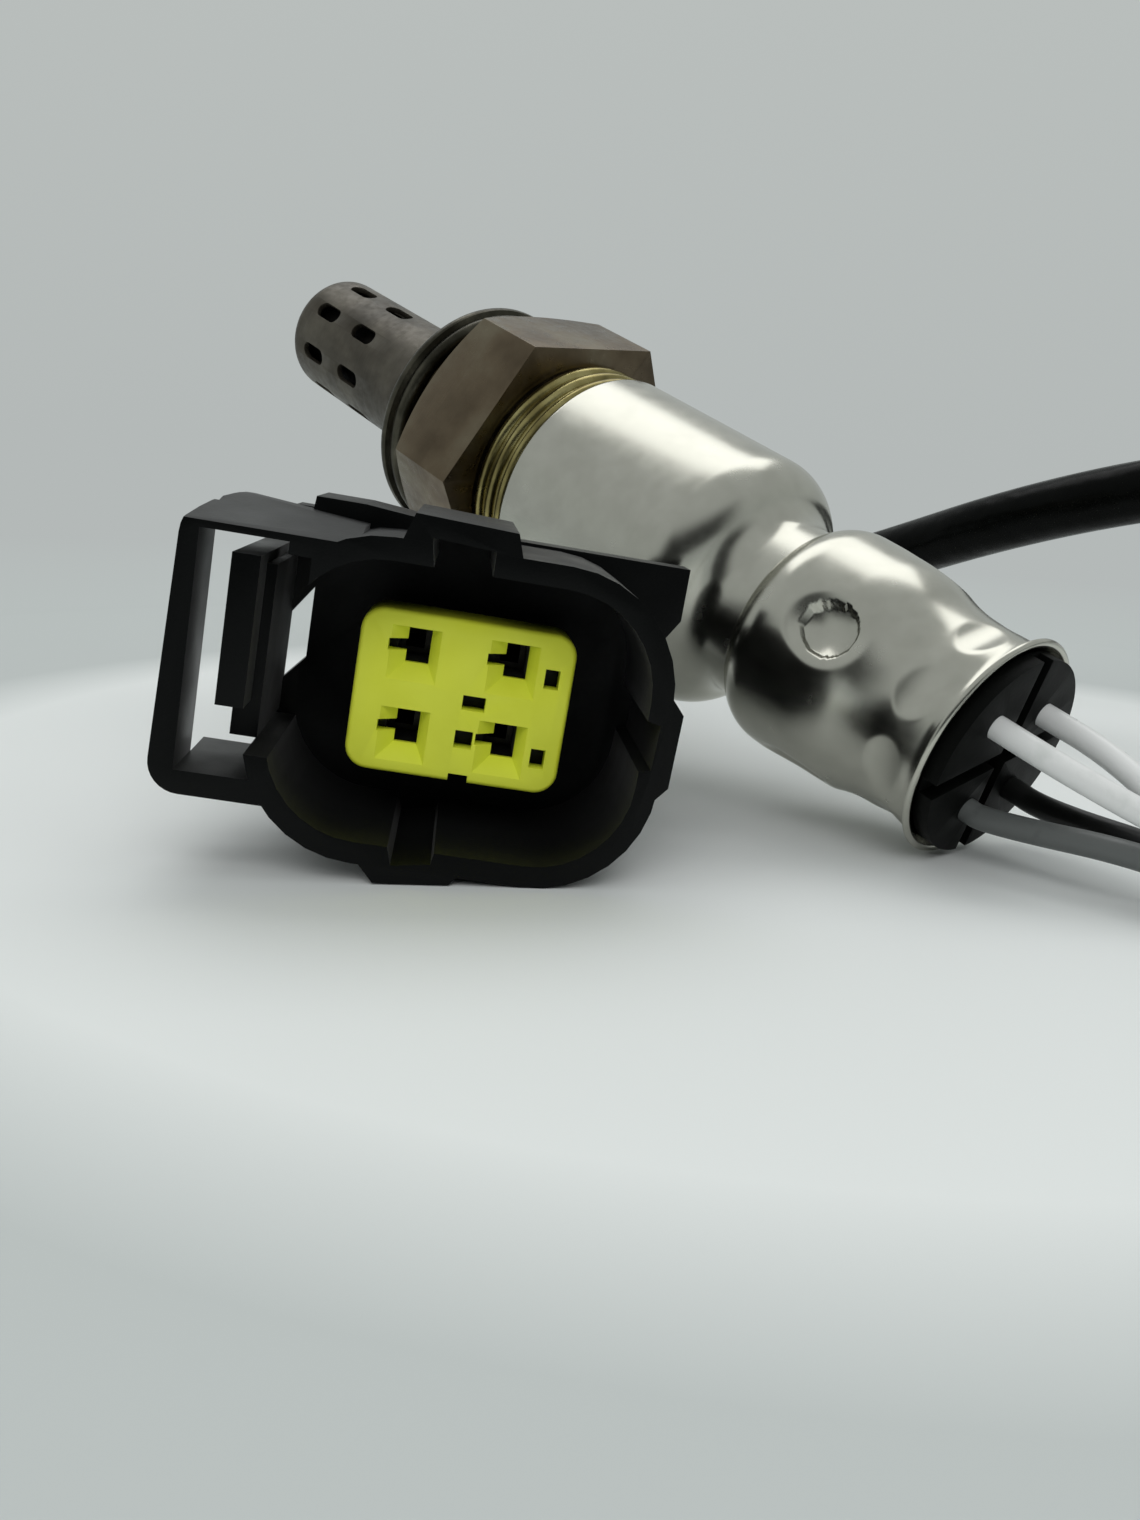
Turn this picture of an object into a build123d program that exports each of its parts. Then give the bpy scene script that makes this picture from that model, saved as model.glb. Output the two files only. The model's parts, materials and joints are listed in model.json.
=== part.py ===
from build123d import *
import os
from math import cos, radians, sin, sqrt, tan

os.makedirs("parts", exist_ok=True)

# Four-wire zirconia oxygen sensor, mm. It lies with the rim of its rear shell on the table and
# its hex lifted over its own cable. Part frame: +Z up, +X from the tip towards the wires.
# Sensor pieces are drawn about local Z, where Z = 0 is the rear face of the hex and the wires
# leave towards +Z. Connector pieces are drawn looking into the socket: X across, Y up its
# face, Z out of it, Z = 0 at the front rim.

# ---- how the sensor lies
TILT = 20.35            # fall of the axis from tip to wires, degrees
HEX_ROLL = 3.5          # turn of the hex about the axis
AXIS_X = -4.63          # centre of the rear face of the hex: the sensor's box is centred on X = 0
AXIS_Z = 23.20          # the rim of the rear shell then just meets Z = 0

FIT = 0.05              # clearance between pieces that slide together

# ---- housing, thread and seat
HEX_AF = 22.0
HEX_LEN = 8.0
HEX_FACE_R = 11.0       # washer face in front of the hex
HEX_CHAMFER = 1.3
THREAD_R = 9.0          # M18 x 1.5, plain over the crests
THREAD_LEN = 5.8
THREAD_CHAMFER = 0.5
RELIEF_DEPTH = 0.5      # undercut between the thread and the hex
RELIEF_LEN = 1.2
GASKET_STAND = 1.4      # the gasket stands this far off the thread
GASKET_T = 2.4
GRIP_DEPTH = 0.4        # its inner edge lies this deep in the thread, which holds it captive
GASKET_GAP = 2.4        # the captive gasket stands this far in front of the hex
GASKET_EDGE = 0.7
BOSS_R = 9.4
BOSS_LEN = 9.0
BORE_R = 5.8
SEAT_Z = -9.6           # step on which the element's collar is pressed
NECK_BORE_R = 4.4
TUBE_SEAT_Z = -13.4     # step on which the tube flanges are pressed
LIP_BORE_R = 4.75       # rolled lip over the packing
LIP_T = 1.0
CUP_R = 7.5             # bore of the boss behind the lip

# ---- protection tubes
TUBE_TIP_R = 5.44
TUBE_R = 5.5
TUBE_BASE_R = 5.9
TUBE_TIP = -36.8
TUBE_FLARE_Z = -21.5
TUBE_BASE_Z = -16.5
TUBE_WALL = 0.5
TUBE_EDGE = 1.3
FLANGE_R = 6.6
FLANGE_T = 0.45
INNER_R = 4.0
INNER_WALL = 0.35
INNER_TIP = -34.9
INNER_HOLE_R = 0.8
INNER_HOLES = 6
INNER_HOLE_Z = -18.0
SLOT_L = 3.4
SLOT_W = 1.5
SLOT_ROWS = (-32.3, -26.1)
SLOT_COLUMNS = 8
SLOT_PHASE = 11.0

# ---- sensing element and its packing
ELEMENT_R = 2.7
ELEMENT_TIP = -32.0
ELEMENT_CONE = 2.0
COLLAR_LEN = 5.9
STEM_R = 4.2
STEM_END = 10.5
ELEMENT_BORE_R = 1.65
ELEMENT_TIP_WALL = 1.2
WASHER_T = 0.3
HEATER_R = 1.5
HEATER_END = 24.0
TALC_LEN = 3.6
PACKING_LEN = 3.4

# ---- shells
RING_FROM = 0.3         # beaded ring between the hex and the main shell
RING_BEADS = 3
RING_BEAD_R = 0.65
RING_STAND = 0.45       # the beads stand this far off the boss
SHELL_WALL = 0.65
SHELL_FROM = 4.25
SHELL_TO = 20.0
SHOULDER_R = 3.6        # outer arc of the shoulder, tangent to the shell
WAIST_R = 2.4           # arc that brings it back, tangent to the neck
NECK_R = 6.9
NECK_END = 32.0
REAR_FROM = 27.7
REAR_SWELL_Z = 30.2
REAR_R = 8.5
REAR_WALL = 0.5
REAR_TAPER_Z = 34.2
TAPER_R = 10.0          # radius of both arcs of the taper
REAR_NECK_R = 7.3
FLARE_Z = 43.9
FLARE_R = 8.0
RIM_Z = 45.1
RIM_BEAD = 0.3
DIMPLES = 4
DIMPLE_Z = 34.2
DIMPLE_ANGLE = 151.6
DIMPLE_BALL_R = 3.3
DIMPLE_DEPTH = 0.8
CRIMPS = 8
CRIMP_Z = 42.0
CRIMP_DEPTH = 0.35
CRIMP_BALL_R = 3.0

# ---- insulator, contacts, grommet and wires
SPRING_WALL = 1.9
INSULATOR_PLAY = 0.8    # air between the ceramic flange and the main shell
INSULATOR_FROM = 12.0
INSULATOR_FLANGE_T = 5.0
INSULATOR_GAP = 0.5     # air between the insulator and the crimp barrels
CHANNEL_R = 1.1
WIRE_R = 0.825
WIRE_PITCH_R = 4.05
HEATER_1_ANGLE = 138.5        # places of the four wires about the axis
HEATER_2_ANGLE = 47.0
GROUND_ANGLE = 248.0
SIGNAL_ANGLE = 318.0
CONTACT_W = 1.3
CONTACT_T = 0.6
CONTACT_FOOT_Z = 11.2
CLIP_FROM = 7.5
BARREL_LEN = 4.0
BARREL_GAP = 0.6        # air between the crimp barrels and the grommet
BARREL_WALL = 0.3
GROMMET_FROM = 36.6
GROMMET_LOBE_T = 1.0
GROMMET_LOBE_R = 7.2
GROMMET_GROOVE = 1.1
HOLE_FLARE = 0.35       # each wire hole opens by this at the face
HOLE_FLARE_LEN = 3.0

# ---- connector
SOCKET_AT = (22.23, -32.07, 10.1)
SOCKET_HEADING = -38.99
SOCKET_ROLL = 7.0
SHROUD_W = 24.0
SHROUD_H = 19.0
SHROUD_CORNER_R = 7.0
SHROUD_WALL = 1.3
SHROUD_DEPTH = 13.0
BACK_T = 2.0
TOWER_W = 12.0
TOWER_H = 8.9
TOWER_FRONT = -6.4
HOLDER_FRONT = -5.0
HOLDER_WALL = 0.5
HOLDER_SKIRT = 2.8
HOLDER_CORNER_R = 1.4
HOLDER_PULL = 1.0       # depth of the funnel round each port
PORT_X = 6.0            # pitch across
PORT_Y = 5.0            # pitch up
PORT_AT = (-0.3, 0.35)  # centre of the four ports
TERMINAL = 1.9          # side of the square terminal
TERMINAL_BORE = 1.2
TERMINAL_SET = 3.0      # the terminals lie this deep in the tower
HOLDER_PORT = (1.4, 2.1)
HOLDER_PORT_X = 0.3     # the port stands this far off the middle of the terminal
HOLDER_BLADE = (1.5, 0.7)
FUNNEL = (3.0, 3.3)
FUNNEL_AT = (0.1, -0.45)
KEY_SLOTS = ((0.8, 0.0, 1.4, 0.9), (5.25, 2.2, 0.9, 1.2), (5.15, -2.8, 0.9, 1.2))
HOLDER_NOTCH = (0.5, 1.2)
FOOT_SLOT = (2.2, 0.15, 1.1, 1.1)
TOP_KEY = ((-4.9, 8.6), (-4.1, 11.0), (1.7, 10.8), (2.4, 8.6))
SIDE_KEY = ((10.6, 3.6), (11.9, 3.0), (12.7, 2.1), (12.6, -2.3), (11.6, -3.5), (10.6, -3.5))
FOOT_KEY = ((-5.4, -8.6), (-3.6, -10.5), (0.8, -10.0), (1.9, -8.6))
TOP_KEYWAY = ((-2.6, 7.6), (-3.0, 9.8), (0.6, 9.6), (0.6, 7.6))
SIDE_KEYWAY = ((10.2, 1.6), (11.5, 1.3), (11.4, -1.4), (10.2, -1.7))
FOOT_KEYWAY = ((-3.2, -7.6), (-2.7, -9.3), (-0.4, -8.9), (-0.2, -7.6))
DECK = ((-10.8, 7.0), (-10.4, 10.6), (-7.4, 10.6), (-1.5, 10.1), (-1.0, 7.0))
DECK_FRONT = -8.0
SIGHT_HOLE = ((-10.3, 4.6), (-12.2, 1.9), (-12.2, -2.3), (-10.3, -0.1))
RIM_RIGHT = 12.2        # flange behind the shroud
RIM_EAR = 13.6          # and its ear at the upper corner
RIM_EAR_DROP = 3.4
RIM_EAR_SLOPE = 2.2
RIM_TOP = 9.7
RIM_BOTTOM = -9.0
RIM_T = 3.0
BLOCK_W = 19.0
BLOCK_H = 15.6
BLOCK_CORNER_R = 3.0
BLOCK_LEN = 5.0
SEAL_W = 13.4
SEAL_H = 10.4
SEAL_LEN = 2.6
COVER_T = 2.0
SNOUT_R = 5.9
SNOUT_LEN = 4.0
FRAME_LEFT = -17.1
FRAME_RIGHT = -7.0
FRAME_LEAN = 0.5
FRAME_BAR = 1.5
FRAME_TOP = 10.3
FRAME_TOP_BAR = 2.0
FRAME_BOTTOM = -6.85
FRAME_BOTTOM_BAR = 1.4
FRAME_STEP = 0.8
FRAME_DEPTH = 5.0       # depth of the upright bar
FRAME_SHELF = 9.0       # depth of the bars above and below the window
FRAME_SLOPE = 10.0      # the top falls towards the front
FRAME_CORNER_R = 1.4
LATCH_X = -13.8
LATCH_T = 1.6
LATCH_TOP = 7.2
LATCH_BOTTOM = -1.5
LATCH_FRONT = -0.6
LATCH_GAP = (-4.0, 7.6)
RIB_SHIFT = 0.6
RIB_DROP = 2.2
RIB_FRONT = -3.4
ROOT = 0.5              # moulded features start this deep in the wall behind them

# ---- cable
SLEEVE_R = 3.0
WIRE_SPREAD = 0.9       # half the pitch of the four wires where they enter the sleeve
MOUTH = (56.0, 0.0, 3.05)
ROUTE = ((76.5, 0.0, 3.05), (97.0, 11.5, 4.3), (104.7, 34.1, 10.0), (96.3, 57.1, 17.0), (75.1, 69.4, 23.5),
         (49.0, 62.0, 27.5), (22.77, 49.42, 25.5), (-19.8, 53.1, 10.9), (-38.5, 32.1, 3.3), (-32.9, 4.6, 3.4))
SNOUT_RUN = 13.0        # the sleeve runs straight into the snout for this long
STRAIGHT = 4.1          # each wire leaves the grommet straight for this long
GATHER = 5.5            # and enters the sleeve straight for this long


def sensor_plane():
    fall = radians(TILT)
    return Plane(origin=(AXIS_X, 0, AXIS_Z), x_dir=(0, 1, 0), z_dir=(cos(fall), 0, -sin(fall)))


def socket_plane():
    out = Vector(cos(radians(SOCKET_HEADING)), sin(radians(SOCKET_HEADING)), 0)
    level = Plane(origin=SOCKET_AT, x_dir=(-out.Y, out.X, 0), z_dir=out)
    return Plane(level.location * Rot(0, 0, -SOCKET_ROLL))


SENSOR = sensor_plane()
SOCKET = socket_plane()
RELIEF_R = THREAD_R - RELIEF_DEPTH
GASKET_R = THREAD_R + GASKET_STAND
GRIP_R = THREAD_R - GRIP_DEPTH
SHELL_R = BOSS_R + FIT + SHELL_WALL
RING_R = BOSS_R + RING_STAND
REAR_MOUTH_R = NECK_R + FIT + REAR_WALL
INSULATOR_FLANGE_R = BOSS_R - INSULATOR_PLAY
BARREL_FROM = GROMMET_FROM - BARREL_GAP - BARREL_LEN
INSULATOR_END = BARREL_FROM - INSULATOR_GAP


def save(solid, name):
    export_step(solid, os.path.join("parts", name + ".step"))


def turned(*corners):
    """Solid turned about Z from the corners (radius, z) of its half section."""
    return revolve(Plane.XZ * make_face(Polyline(*corners, close=True)), Axis.Z)


def rod(radius, z0, z1):
    return Pos(0, 0, z0) * Cylinder(radius, z1 - z0, align=(Align.CENTER, Align.CENTER, Align.MIN))


def ring(inner, outer, z0, z1):
    return rod(outer, z0, z1) - rod(inner, z0 - 1, z1 + 1)


def polar(radius, angle, z):
    return Pos(radius * cos(radians(angle)), radius * sin(radians(angle)), z)


def slab(x0, x1, y0, y1, z0, z1):
    return Pos((x0 + x1) / 2, (y0 + y1) / 2, (z0 + z1) / 2) * Box(x1 - x0, y1 - y0, z1 - z0)


def plate(face, z0, z1):
    """A face on XY pulled from z0 to z1."""
    return Pos(0, 0, z0) * extrude(face, amount=z1 - z0)


# ------------------------------------------------------------------ housing and seat
THREAD_TO = -HEX_LEN - RELIEF_LEN
THREAD_END = THREAD_TO - THREAD_LEN
COLLAR_FROM = SEAT_Z + WASHER_T
COLLAR_TO = COLLAR_FROM + COLLAR_LEN
TALC_TO = COLLAR_TO + TALC_LEN
PACKING_TO = TALC_TO + PACKING_LEN
OUTER_FLANGE_Z = TUBE_SEAT_Z - 2 * FLANGE_T
GASKET_TO = -HEX_LEN - GASKET_GAP


def hex_housing():
    """Hex, thread and boss turned as one; the bore steps down to the seat."""
    across = RegularPolygon(HEX_AF / 2, 6, major_radius=False, rotation=HEX_ROLL)
    hexagon = plate(across, -HEX_LEN, 0)
    hexagon &= turned(
        (0, -HEX_LEN), (HEX_FACE_R, -HEX_LEN), (HEX_AF, (HEX_AF - HEX_FACE_R) / 2 * HEX_CHAMFER - HEX_LEN),
        (HEX_AF, 0), (0, 0),
    )
    shank = turned(
        (0, THREAD_END), (THREAD_R - THREAD_CHAMFER, THREAD_END), (THREAD_R, THREAD_END + THREAD_CHAMFER),
        (THREAD_R, GASKET_TO - GASKET_T), (GRIP_R, GASKET_TO - GASKET_T), (GRIP_R, GASKET_TO),
        (THREAD_R, GASKET_TO), (THREAD_R, THREAD_TO), (RELIEF_R, THREAD_TO), (RELIEF_R, -HEX_LEN / 2),
        (BOSS_R, -HEX_LEN / 2), (BOSS_R, BOSS_LEN), (0, BOSS_LEN),
    )
    bore = turned(
        (0, THREAD_END - 1), (TUBE_BASE_R + FIT, THREAD_END - 1), (TUBE_BASE_R + FIT, OUTER_FLANGE_Z),
        (FLANGE_R + FIT, OUTER_FLANGE_Z), (FLANGE_R + FIT, TUBE_SEAT_Z), (NECK_BORE_R, TUBE_SEAT_Z),
        (NECK_BORE_R, SEAT_Z), (BORE_R, SEAT_Z), (BORE_R, PACKING_TO), (LIP_BORE_R, PACKING_TO),
        (LIP_BORE_R, PACKING_TO + LIP_T), (CUP_R, PACKING_TO + LIP_T), (CUP_R, BOSS_LEN + 1), (0, BOSS_LEN + 1),
    )
    return hexagon + shank - bore


def seat_gasket():
    """Folded steel ring, captive on the thread, that seals against the exhaust boss."""
    body = ring(GRIP_R, GASKET_R, GASKET_TO - GASKET_T, GASKET_TO)
    rims = body.edges().filter_by(GeomType.CIRCLE).filter_by(lambda e: e.radius > THREAD_R)
    return fillet(rims, GASKET_EDGE)


# ------------------------------------------------------------------ protection tubes
def outer_protection_tube():
    """Drawn cup with two rows of slots, its flange held in the mouth of the housing."""
    def cup(inset, top):
        body = turned(
            (0, TUBE_TIP + inset), (TUBE_TIP_R - inset, TUBE_TIP + inset), (TUBE_R - inset, TUBE_FLARE_Z),
            (TUBE_BASE_R - inset, TUBE_BASE_Z), (TUBE_BASE_R - inset, top), (0, top),
        )
        tip = body.edges().filter_by(GeomType.CIRCLE).sort_by(Axis.Z)[0]
        return fillet(tip, TUBE_EDGE - inset)

    shell = cup(0, OUTER_FLANGE_Z + FLANGE_T) - cup(TUBE_WALL, TUBE_SEAT_Z)
    shell += ring(TUBE_BASE_R - TUBE_WALL, FLANGE_R, OUTER_FLANGE_Z, OUTER_FLANGE_Z + FLANGE_T)
    slot = extrude(Plane.YZ * Rot(0, 0, 90) * SlotOverall(SLOT_L, SLOT_W), amount=2 * TUBE_R)
    slots = []
    for z in SLOT_ROWS:
        for i in range(SLOT_COLUMNS):
            turn = SLOT_PHASE + 360 / SLOT_COLUMNS * i
            slots.append(Rot(0, 0, turn) * Pos(INNER_R, 0, z) * slot)
    return shell - slots


def inner_protection_tube():
    """Plain cup behind the slots, with its gas holes near the flange and one in its end."""
    top = TUBE_SEAT_Z
    body = rod(INNER_R, INNER_TIP, top) - rod(INNER_R - INNER_WALL, INNER_TIP + INNER_WALL, top + 1)
    body += ring(INNER_R - INNER_WALL, FLANGE_R, top - FLANGE_T, top)
    hole = Rot(0, 90, 0) * Cylinder(INNER_HOLE_R, INNER_R, align=(Align.CENTER, Align.CENTER, Align.MIN))
    holes = [Rot(0, 0, 360 / INNER_HOLES * i) * Pos(INNER_R / 2, 0, INNER_HOLE_Z) * hole
             for i in range(INNER_HOLES)]
    return body - holes - rod(INNER_HOLE_R, INNER_TIP - 1, INNER_TIP + 1)


# ------------------------------------------------------------------ element and packing
def sensing_element():
    """Closed zirconia thimble with a pressed collar."""
    body = rod(ELEMENT_R, ELEMENT_TIP + ELEMENT_R, COLLAR_TO)
    body += Pos(0, 0, ELEMENT_TIP + ELEMENT_R) * Sphere(ELEMENT_R)
    body += turned(
        (0, COLLAR_FROM - ELEMENT_CONE), (ELEMENT_R, COLLAR_FROM - ELEMENT_CONE), (STEM_R, COLLAR_FROM),
        (BORE_R - FIT, COLLAR_FROM), (BORE_R - FIT, COLLAR_TO), (STEM_R, COLLAR_TO), (STEM_R, STEM_END),
        (0, STEM_END),
    )
    return body - rod(ELEMENT_BORE_R, ELEMENT_TIP + ELEMENT_TIP_WALL, STEM_END + 1)


def element_washer():
    return ring(NECK_BORE_R, BORE_R - FIT, SEAT_Z, COLLAR_FROM)


def talc_seal():
    return ring(STEM_R + FIT, BORE_R - FIT, COLLAR_TO, TALC_TO)


def packing_ring():
    return ring(STEM_R + FIT, BORE_R - FIT, TALC_TO, PACKING_TO)


def heater_rod():
    return rod(HEATER_R, ELEMENT_TIP + ELEMENT_TIP_WALL, HEATER_END)


# ------------------------------------------------------------------ shells
def crimp_ring():
    """Fine round beads side by side between the hex and the main shell."""
    body = ring(BOSS_R + FIT, RING_R - RING_BEAD_R / 2, RING_FROM, SHELL_FROM)
    pitch = (SHELL_FROM - RING_FROM) / RING_BEADS
    for i in range(RING_BEADS):
        bead = Torus(RING_R - RING_BEAD_R, RING_BEAD_R)
        body += Pos(0, 0, RING_FROM + pitch * (i + 0.5)) * bead
    return body - rod(BOSS_R + FIT, RING_FROM - 1, SHELL_FROM + 1)


def main_section(wall):
    """Half section of the main shell less a wall: shell, shoulder, waist and neck."""
    r_shell = SHELL_R - wall
    r_neck = NECK_R - wall
    convex = SHOULDER_R - wall
    concave = WAIST_R + wall
    across = (r_shell - convex) - (r_neck + concave)
    rise = sqrt((convex + concave) ** 2 - across ** 2)
    share = convex / (convex + concave)
    meet = (r_shell - convex - across * share, SHELL_TO + rise * share)
    start = SHELL_FROM - (1 if wall else 0)
    end = NECK_END + (1 if wall else 0)
    waist = SHELL_TO + rise
    edges = [
        Line((0, start), (r_shell, start)),
        Line((r_shell, start), (r_shell, SHELL_TO)),
        TangentArc((r_shell, SHELL_TO), meet, tangent=(0, 1)),
        TangentArc((r_neck, waist), meet, tangent=(0, -1)),
        Line((r_neck, waist), (r_neck, end)),
        Line((r_neck, end), (0, end)),
        Line((0, end), (0, start)),
    ]
    return revolve(Plane.XZ * make_face(Curve() + edges), Axis.Z)


def main_shell():
    return main_section(0) - main_section(SHELL_WALL)


def rear_section(wall):
    """Half section of the rear shell less a wall: swollen mouth, long taper and flared rim."""
    r_mouth = REAR_MOUTH_R - wall
    r_body = REAR_R - wall
    r_neck = REAR_NECK_R - wall
    convex = TAPER_R - wall
    concave = TAPER_R + wall
    across = (r_body - convex) - (r_neck + concave)
    rise = sqrt((convex + concave) ** 2 - across ** 2)
    share = convex / (convex + concave)
    meet = (r_body - convex - across * share, REAR_TAPER_Z + rise * share)
    low = REAR_FROM - (1 if wall else 0)
    high = RIM_Z + (1 if wall else 0)
    neck = REAR_TAPER_Z + rise
    edges = [
        Line((0, low), (r_mouth, low)),
        TangentArc((r_body, REAR_SWELL_Z), (r_mouth, REAR_FROM), tangent=(0, -1)),
        Line((r_body, REAR_SWELL_Z), (r_body, REAR_TAPER_Z)),
        TangentArc((r_body, REAR_TAPER_Z), meet, tangent=(0, 1)),
        TangentArc((r_neck, neck), meet, tangent=(0, -1)),
        Line((r_neck, neck), (r_neck, FLARE_Z)),
        TangentArc((r_neck, FLARE_Z), (FLARE_R - wall, RIM_Z), tangent=(0, 1)),
        Line((FLARE_R - wall, high), (0, high)),
        Line((0, high), (0, low)),
    ]
    if wall:
        edges.append(Line((r_mouth, low), (r_mouth, REAR_FROM)))
        edges.append(Line((FLARE_R - wall, RIM_Z), (FLARE_R - wall, high)))
    return revolve(Plane.XZ * make_face(Curve() + edges), Axis.Z)


def dents(wall):
    """Tools that press the dimples and the crimps, grown by the wall they push in."""
    tools = []
    reach = REAR_R - DIMPLE_DEPTH + DIMPLE_BALL_R
    for i in range(DIMPLES):
        place = polar(reach, DIMPLE_ANGLE + 360 / DIMPLES * i, DIMPLE_Z)
        tools.append(place * Sphere(DIMPLE_BALL_R + wall))
    reach = REAR_NECK_R - CRIMP_DEPTH + CRIMP_BALL_R
    for i in range(CRIMPS):
        turn = Rot(0, 0, DIMPLE_ANGLE + 360 / CRIMPS * i)
        bar = Rot(90, 0, 0) * Cylinder(CRIMP_BALL_R + wall, REAR_R)
        tools.append(turn * Pos(reach, 0, CRIMP_Z) * bar)
    return tools


def rear_shell():
    """Rear shell, dimpled round its swell and crimped round its neck on to the grommet."""
    body = rear_section(0) - dents(0)
    body -= rear_section(REAR_WALL) - dents(REAR_WALL)
    lip = Pos(0, 0, RIM_Z - RIM_BEAD) * Torus(FLARE_R - REAR_WALL / 2, RIM_BEAD)
    return body + lip


# ------------------------------------------------------------------ insulator and contacts
def wire_places():
    return [HEATER_1_ANGLE, HEATER_2_ANGLE, GROUND_ANGLE, SIGNAL_ANGLE]


def spring_ring():
    return ring(BOSS_R - SPRING_WALL, BOSS_R, BOSS_LEN, INSULATOR_FROM)


def ceramic_insulator():
    """Flanged ceramic core with a channel for each contact and a blind bore for the heater."""
    neck = NECK_R - SHELL_WALL - FIT
    body = rod(neck, INSULATOR_FROM, INSULATOR_END)
    body += rod(INSULATOR_FLANGE_R, INSULATOR_FROM, INSULATOR_FROM + INSULATOR_FLANGE_T)
    for angle in wire_places():
        body -= polar(WIRE_PITCH_R, angle, 0) * rod(CHANNEL_R, INSULATOR_FROM - 1, INSULATOR_END + 1)
    return body - rod(HEATER_R + FIT, INSULATOR_FROM - 1, HEATER_END + FIT)


def strip(foot):
    """Flat spring strip from its foot to the wire barrel, at angle 0."""
    half = CONTACT_T / 2
    blade = slab(WIRE_PITCH_R - half, WIRE_PITCH_R + half, -CONTACT_W / 2, CONTACT_W / 2, foot, BARREL_FROM)
    barrel = Pos(WIRE_PITCH_R, 0, 0) * rod(WIRE_R + BARREL_WALL, BARREL_FROM, BARREL_FROM + BARREL_LEN)
    bore = Pos(WIRE_PITCH_R, 0, 0) * rod(WIRE_R, BARREL_FROM + BARREL_LEN / 4, BARREL_FROM + BARREL_LEN + 1)
    return blade + barrel - bore


def heater_contact(angle):
    """Its foot reaches in to the heater rod above the element."""
    finger = slab(HEATER_R, WIRE_PITCH_R, -CONTACT_W / 2, CONTACT_W / 2, CONTACT_FOOT_Z,
                  CONTACT_FOOT_Z + CONTACT_T)
    return Rot(0, 0, angle) * (strip(CONTACT_FOOT_Z) + finger - rod(HEATER_R, 0, HEATER_END))


def signal_contact():
    """A ring on the rear face of the element meets the electrode inside it."""
    seat = ring(ELEMENT_BORE_R + FIT, WIRE_PITCH_R - CONTACT_T, STEM_END, STEM_END + CONTACT_T / 2)
    inner = WIRE_PITCH_R - 2 * CONTACT_T
    foot = CONTACT_FOOT_Z + FIT
    riser = slab(inner, inner + CONTACT_T, -CONTACT_W / 2, CONTACT_W / 2, STEM_END, foot + CONTACT_T)
    tail = slab(inner, WIRE_PITCH_R, -CONTACT_W / 2, CONTACT_W / 2, foot, foot + CONTACT_T)
    return Rot(0, 0, SIGNAL_ANGLE) * (strip(foot) + seat + riser + tail)


def ground_contact():
    """A clip round the stem of the element meets the electrode outside it."""
    clip_r = WIRE_PITCH_R + CONTACT_T / 2
    clip = ring(STEM_R + FIT, clip_r + CONTACT_T, CLIP_FROM, CONTACT_FOOT_Z)
    clip -= slab(-CONTACT_W / 2, CONTACT_W / 2, 0, 2 * STEM_R, CLIP_FROM - 1, CONTACT_FOOT_Z + 1)
    return Rot(0, 0, GROUND_ANGLE) * (strip(STEM_END + FIT) + clip)


# ------------------------------------------------------------------ grommet and wires
GROMMET_TO = RIM_Z + GROMMET_LOBE_T


def grommet():
    """Rubber plug under the crimps; its face stands in four lobes round the wires."""
    neck = REAR_NECK_R - REAR_WALL - FIT
    edge = FLARE_R - REAR_WALL - FIT
    body = turned(
        (0, GROMMET_FROM), (neck, GROMMET_FROM), (neck, RIM_Z - 2 * RIM_BEAD),
        (edge - RIM_BEAD, RIM_Z - RIM_BEAD / 2), (edge - RIM_BEAD, RIM_Z), (0, RIM_Z),
    )
    lobes = rod(GROMMET_LOBE_R, RIM_Z - FIT, GROMMET_TO)
    for angle in ((HEATER_1_ANGLE + HEATER_2_ANGLE) / 2, (HEATER_1_ANGLE + GROUND_ANGLE) / 2):
        groove = slab(-2 * REAR_R, 2 * REAR_R, -GROMMET_GROOVE / 2, GROMMET_GROOVE / 2, RIM_Z, GROMMET_TO + 1)
        lobes -= Rot(0, 0, angle) * groove
    body += lobes
    body -= dents(REAR_WALL + FIT)
    for angle in wire_places():
        body -= polar(WIRE_PITCH_R, angle, 0) * rod(WIRE_R, GROMMET_FROM - 1, GROMMET_TO + 1)
        flare = rod(WIRE_R + HOLE_FLARE, GROMMET_TO - HOLE_FLARE_LEN, GROMMET_TO + 1)
        body -= polar(WIRE_PITCH_R, angle, 0) * flare
    return body


def tube(points, radius):
    """Round tube along straight runs joined by tangent arcs as large as the runs allow."""
    at = [Vector(p) for p in points]
    radii = []
    for a, b, c in zip(at, at[1:], at[2:]):
        half = radians((b - a).get_angle(c - b)) / 2
        radii.append(0.45 * min((b - a).length, (c - b).length) / tan(half))
    path = FilletPolyline(*at, radius=radii)
    section = Plane(origin=path @ 0, z_dir=path % 0) * Circle(radius)
    return sweep(section, path=path)


def sensor_point(radius, angle, z):
    return SENSOR.from_local_coords((radius * cos(radians(angle)), radius * sin(radians(angle)), z))


def wire(angle, side, level):
    """One wire from its contact, through the grommet, to its place in the sleeve."""
    x, y, z = MOUTH
    y += side * WIRE_SPREAD
    z += level * WIRE_SPREAD
    return tube(
        [
            sensor_point(WIRE_PITCH_R, angle, BARREL_FROM + BARREL_LEN / 4),
            sensor_point(WIRE_PITCH_R, angle, GROMMET_TO + STRAIGHT),
            Vector(x - GATHER, y, z),
            Vector(x, y, z),
        ],
        WIRE_R,
    )


def cable_sleeve():
    """Sleeve from the wires, round a rising loop, under the hex and into the connector."""
    back = SOCKET.from_local_coords((0, 0, SLEEVE_END))
    under = SOCKET.from_local_coords((0, 0, SLEEVE_END - SNOUT_RUN))
    return tube([MOUTH, *ROUTE, under, back], SLEEVE_R)


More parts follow.
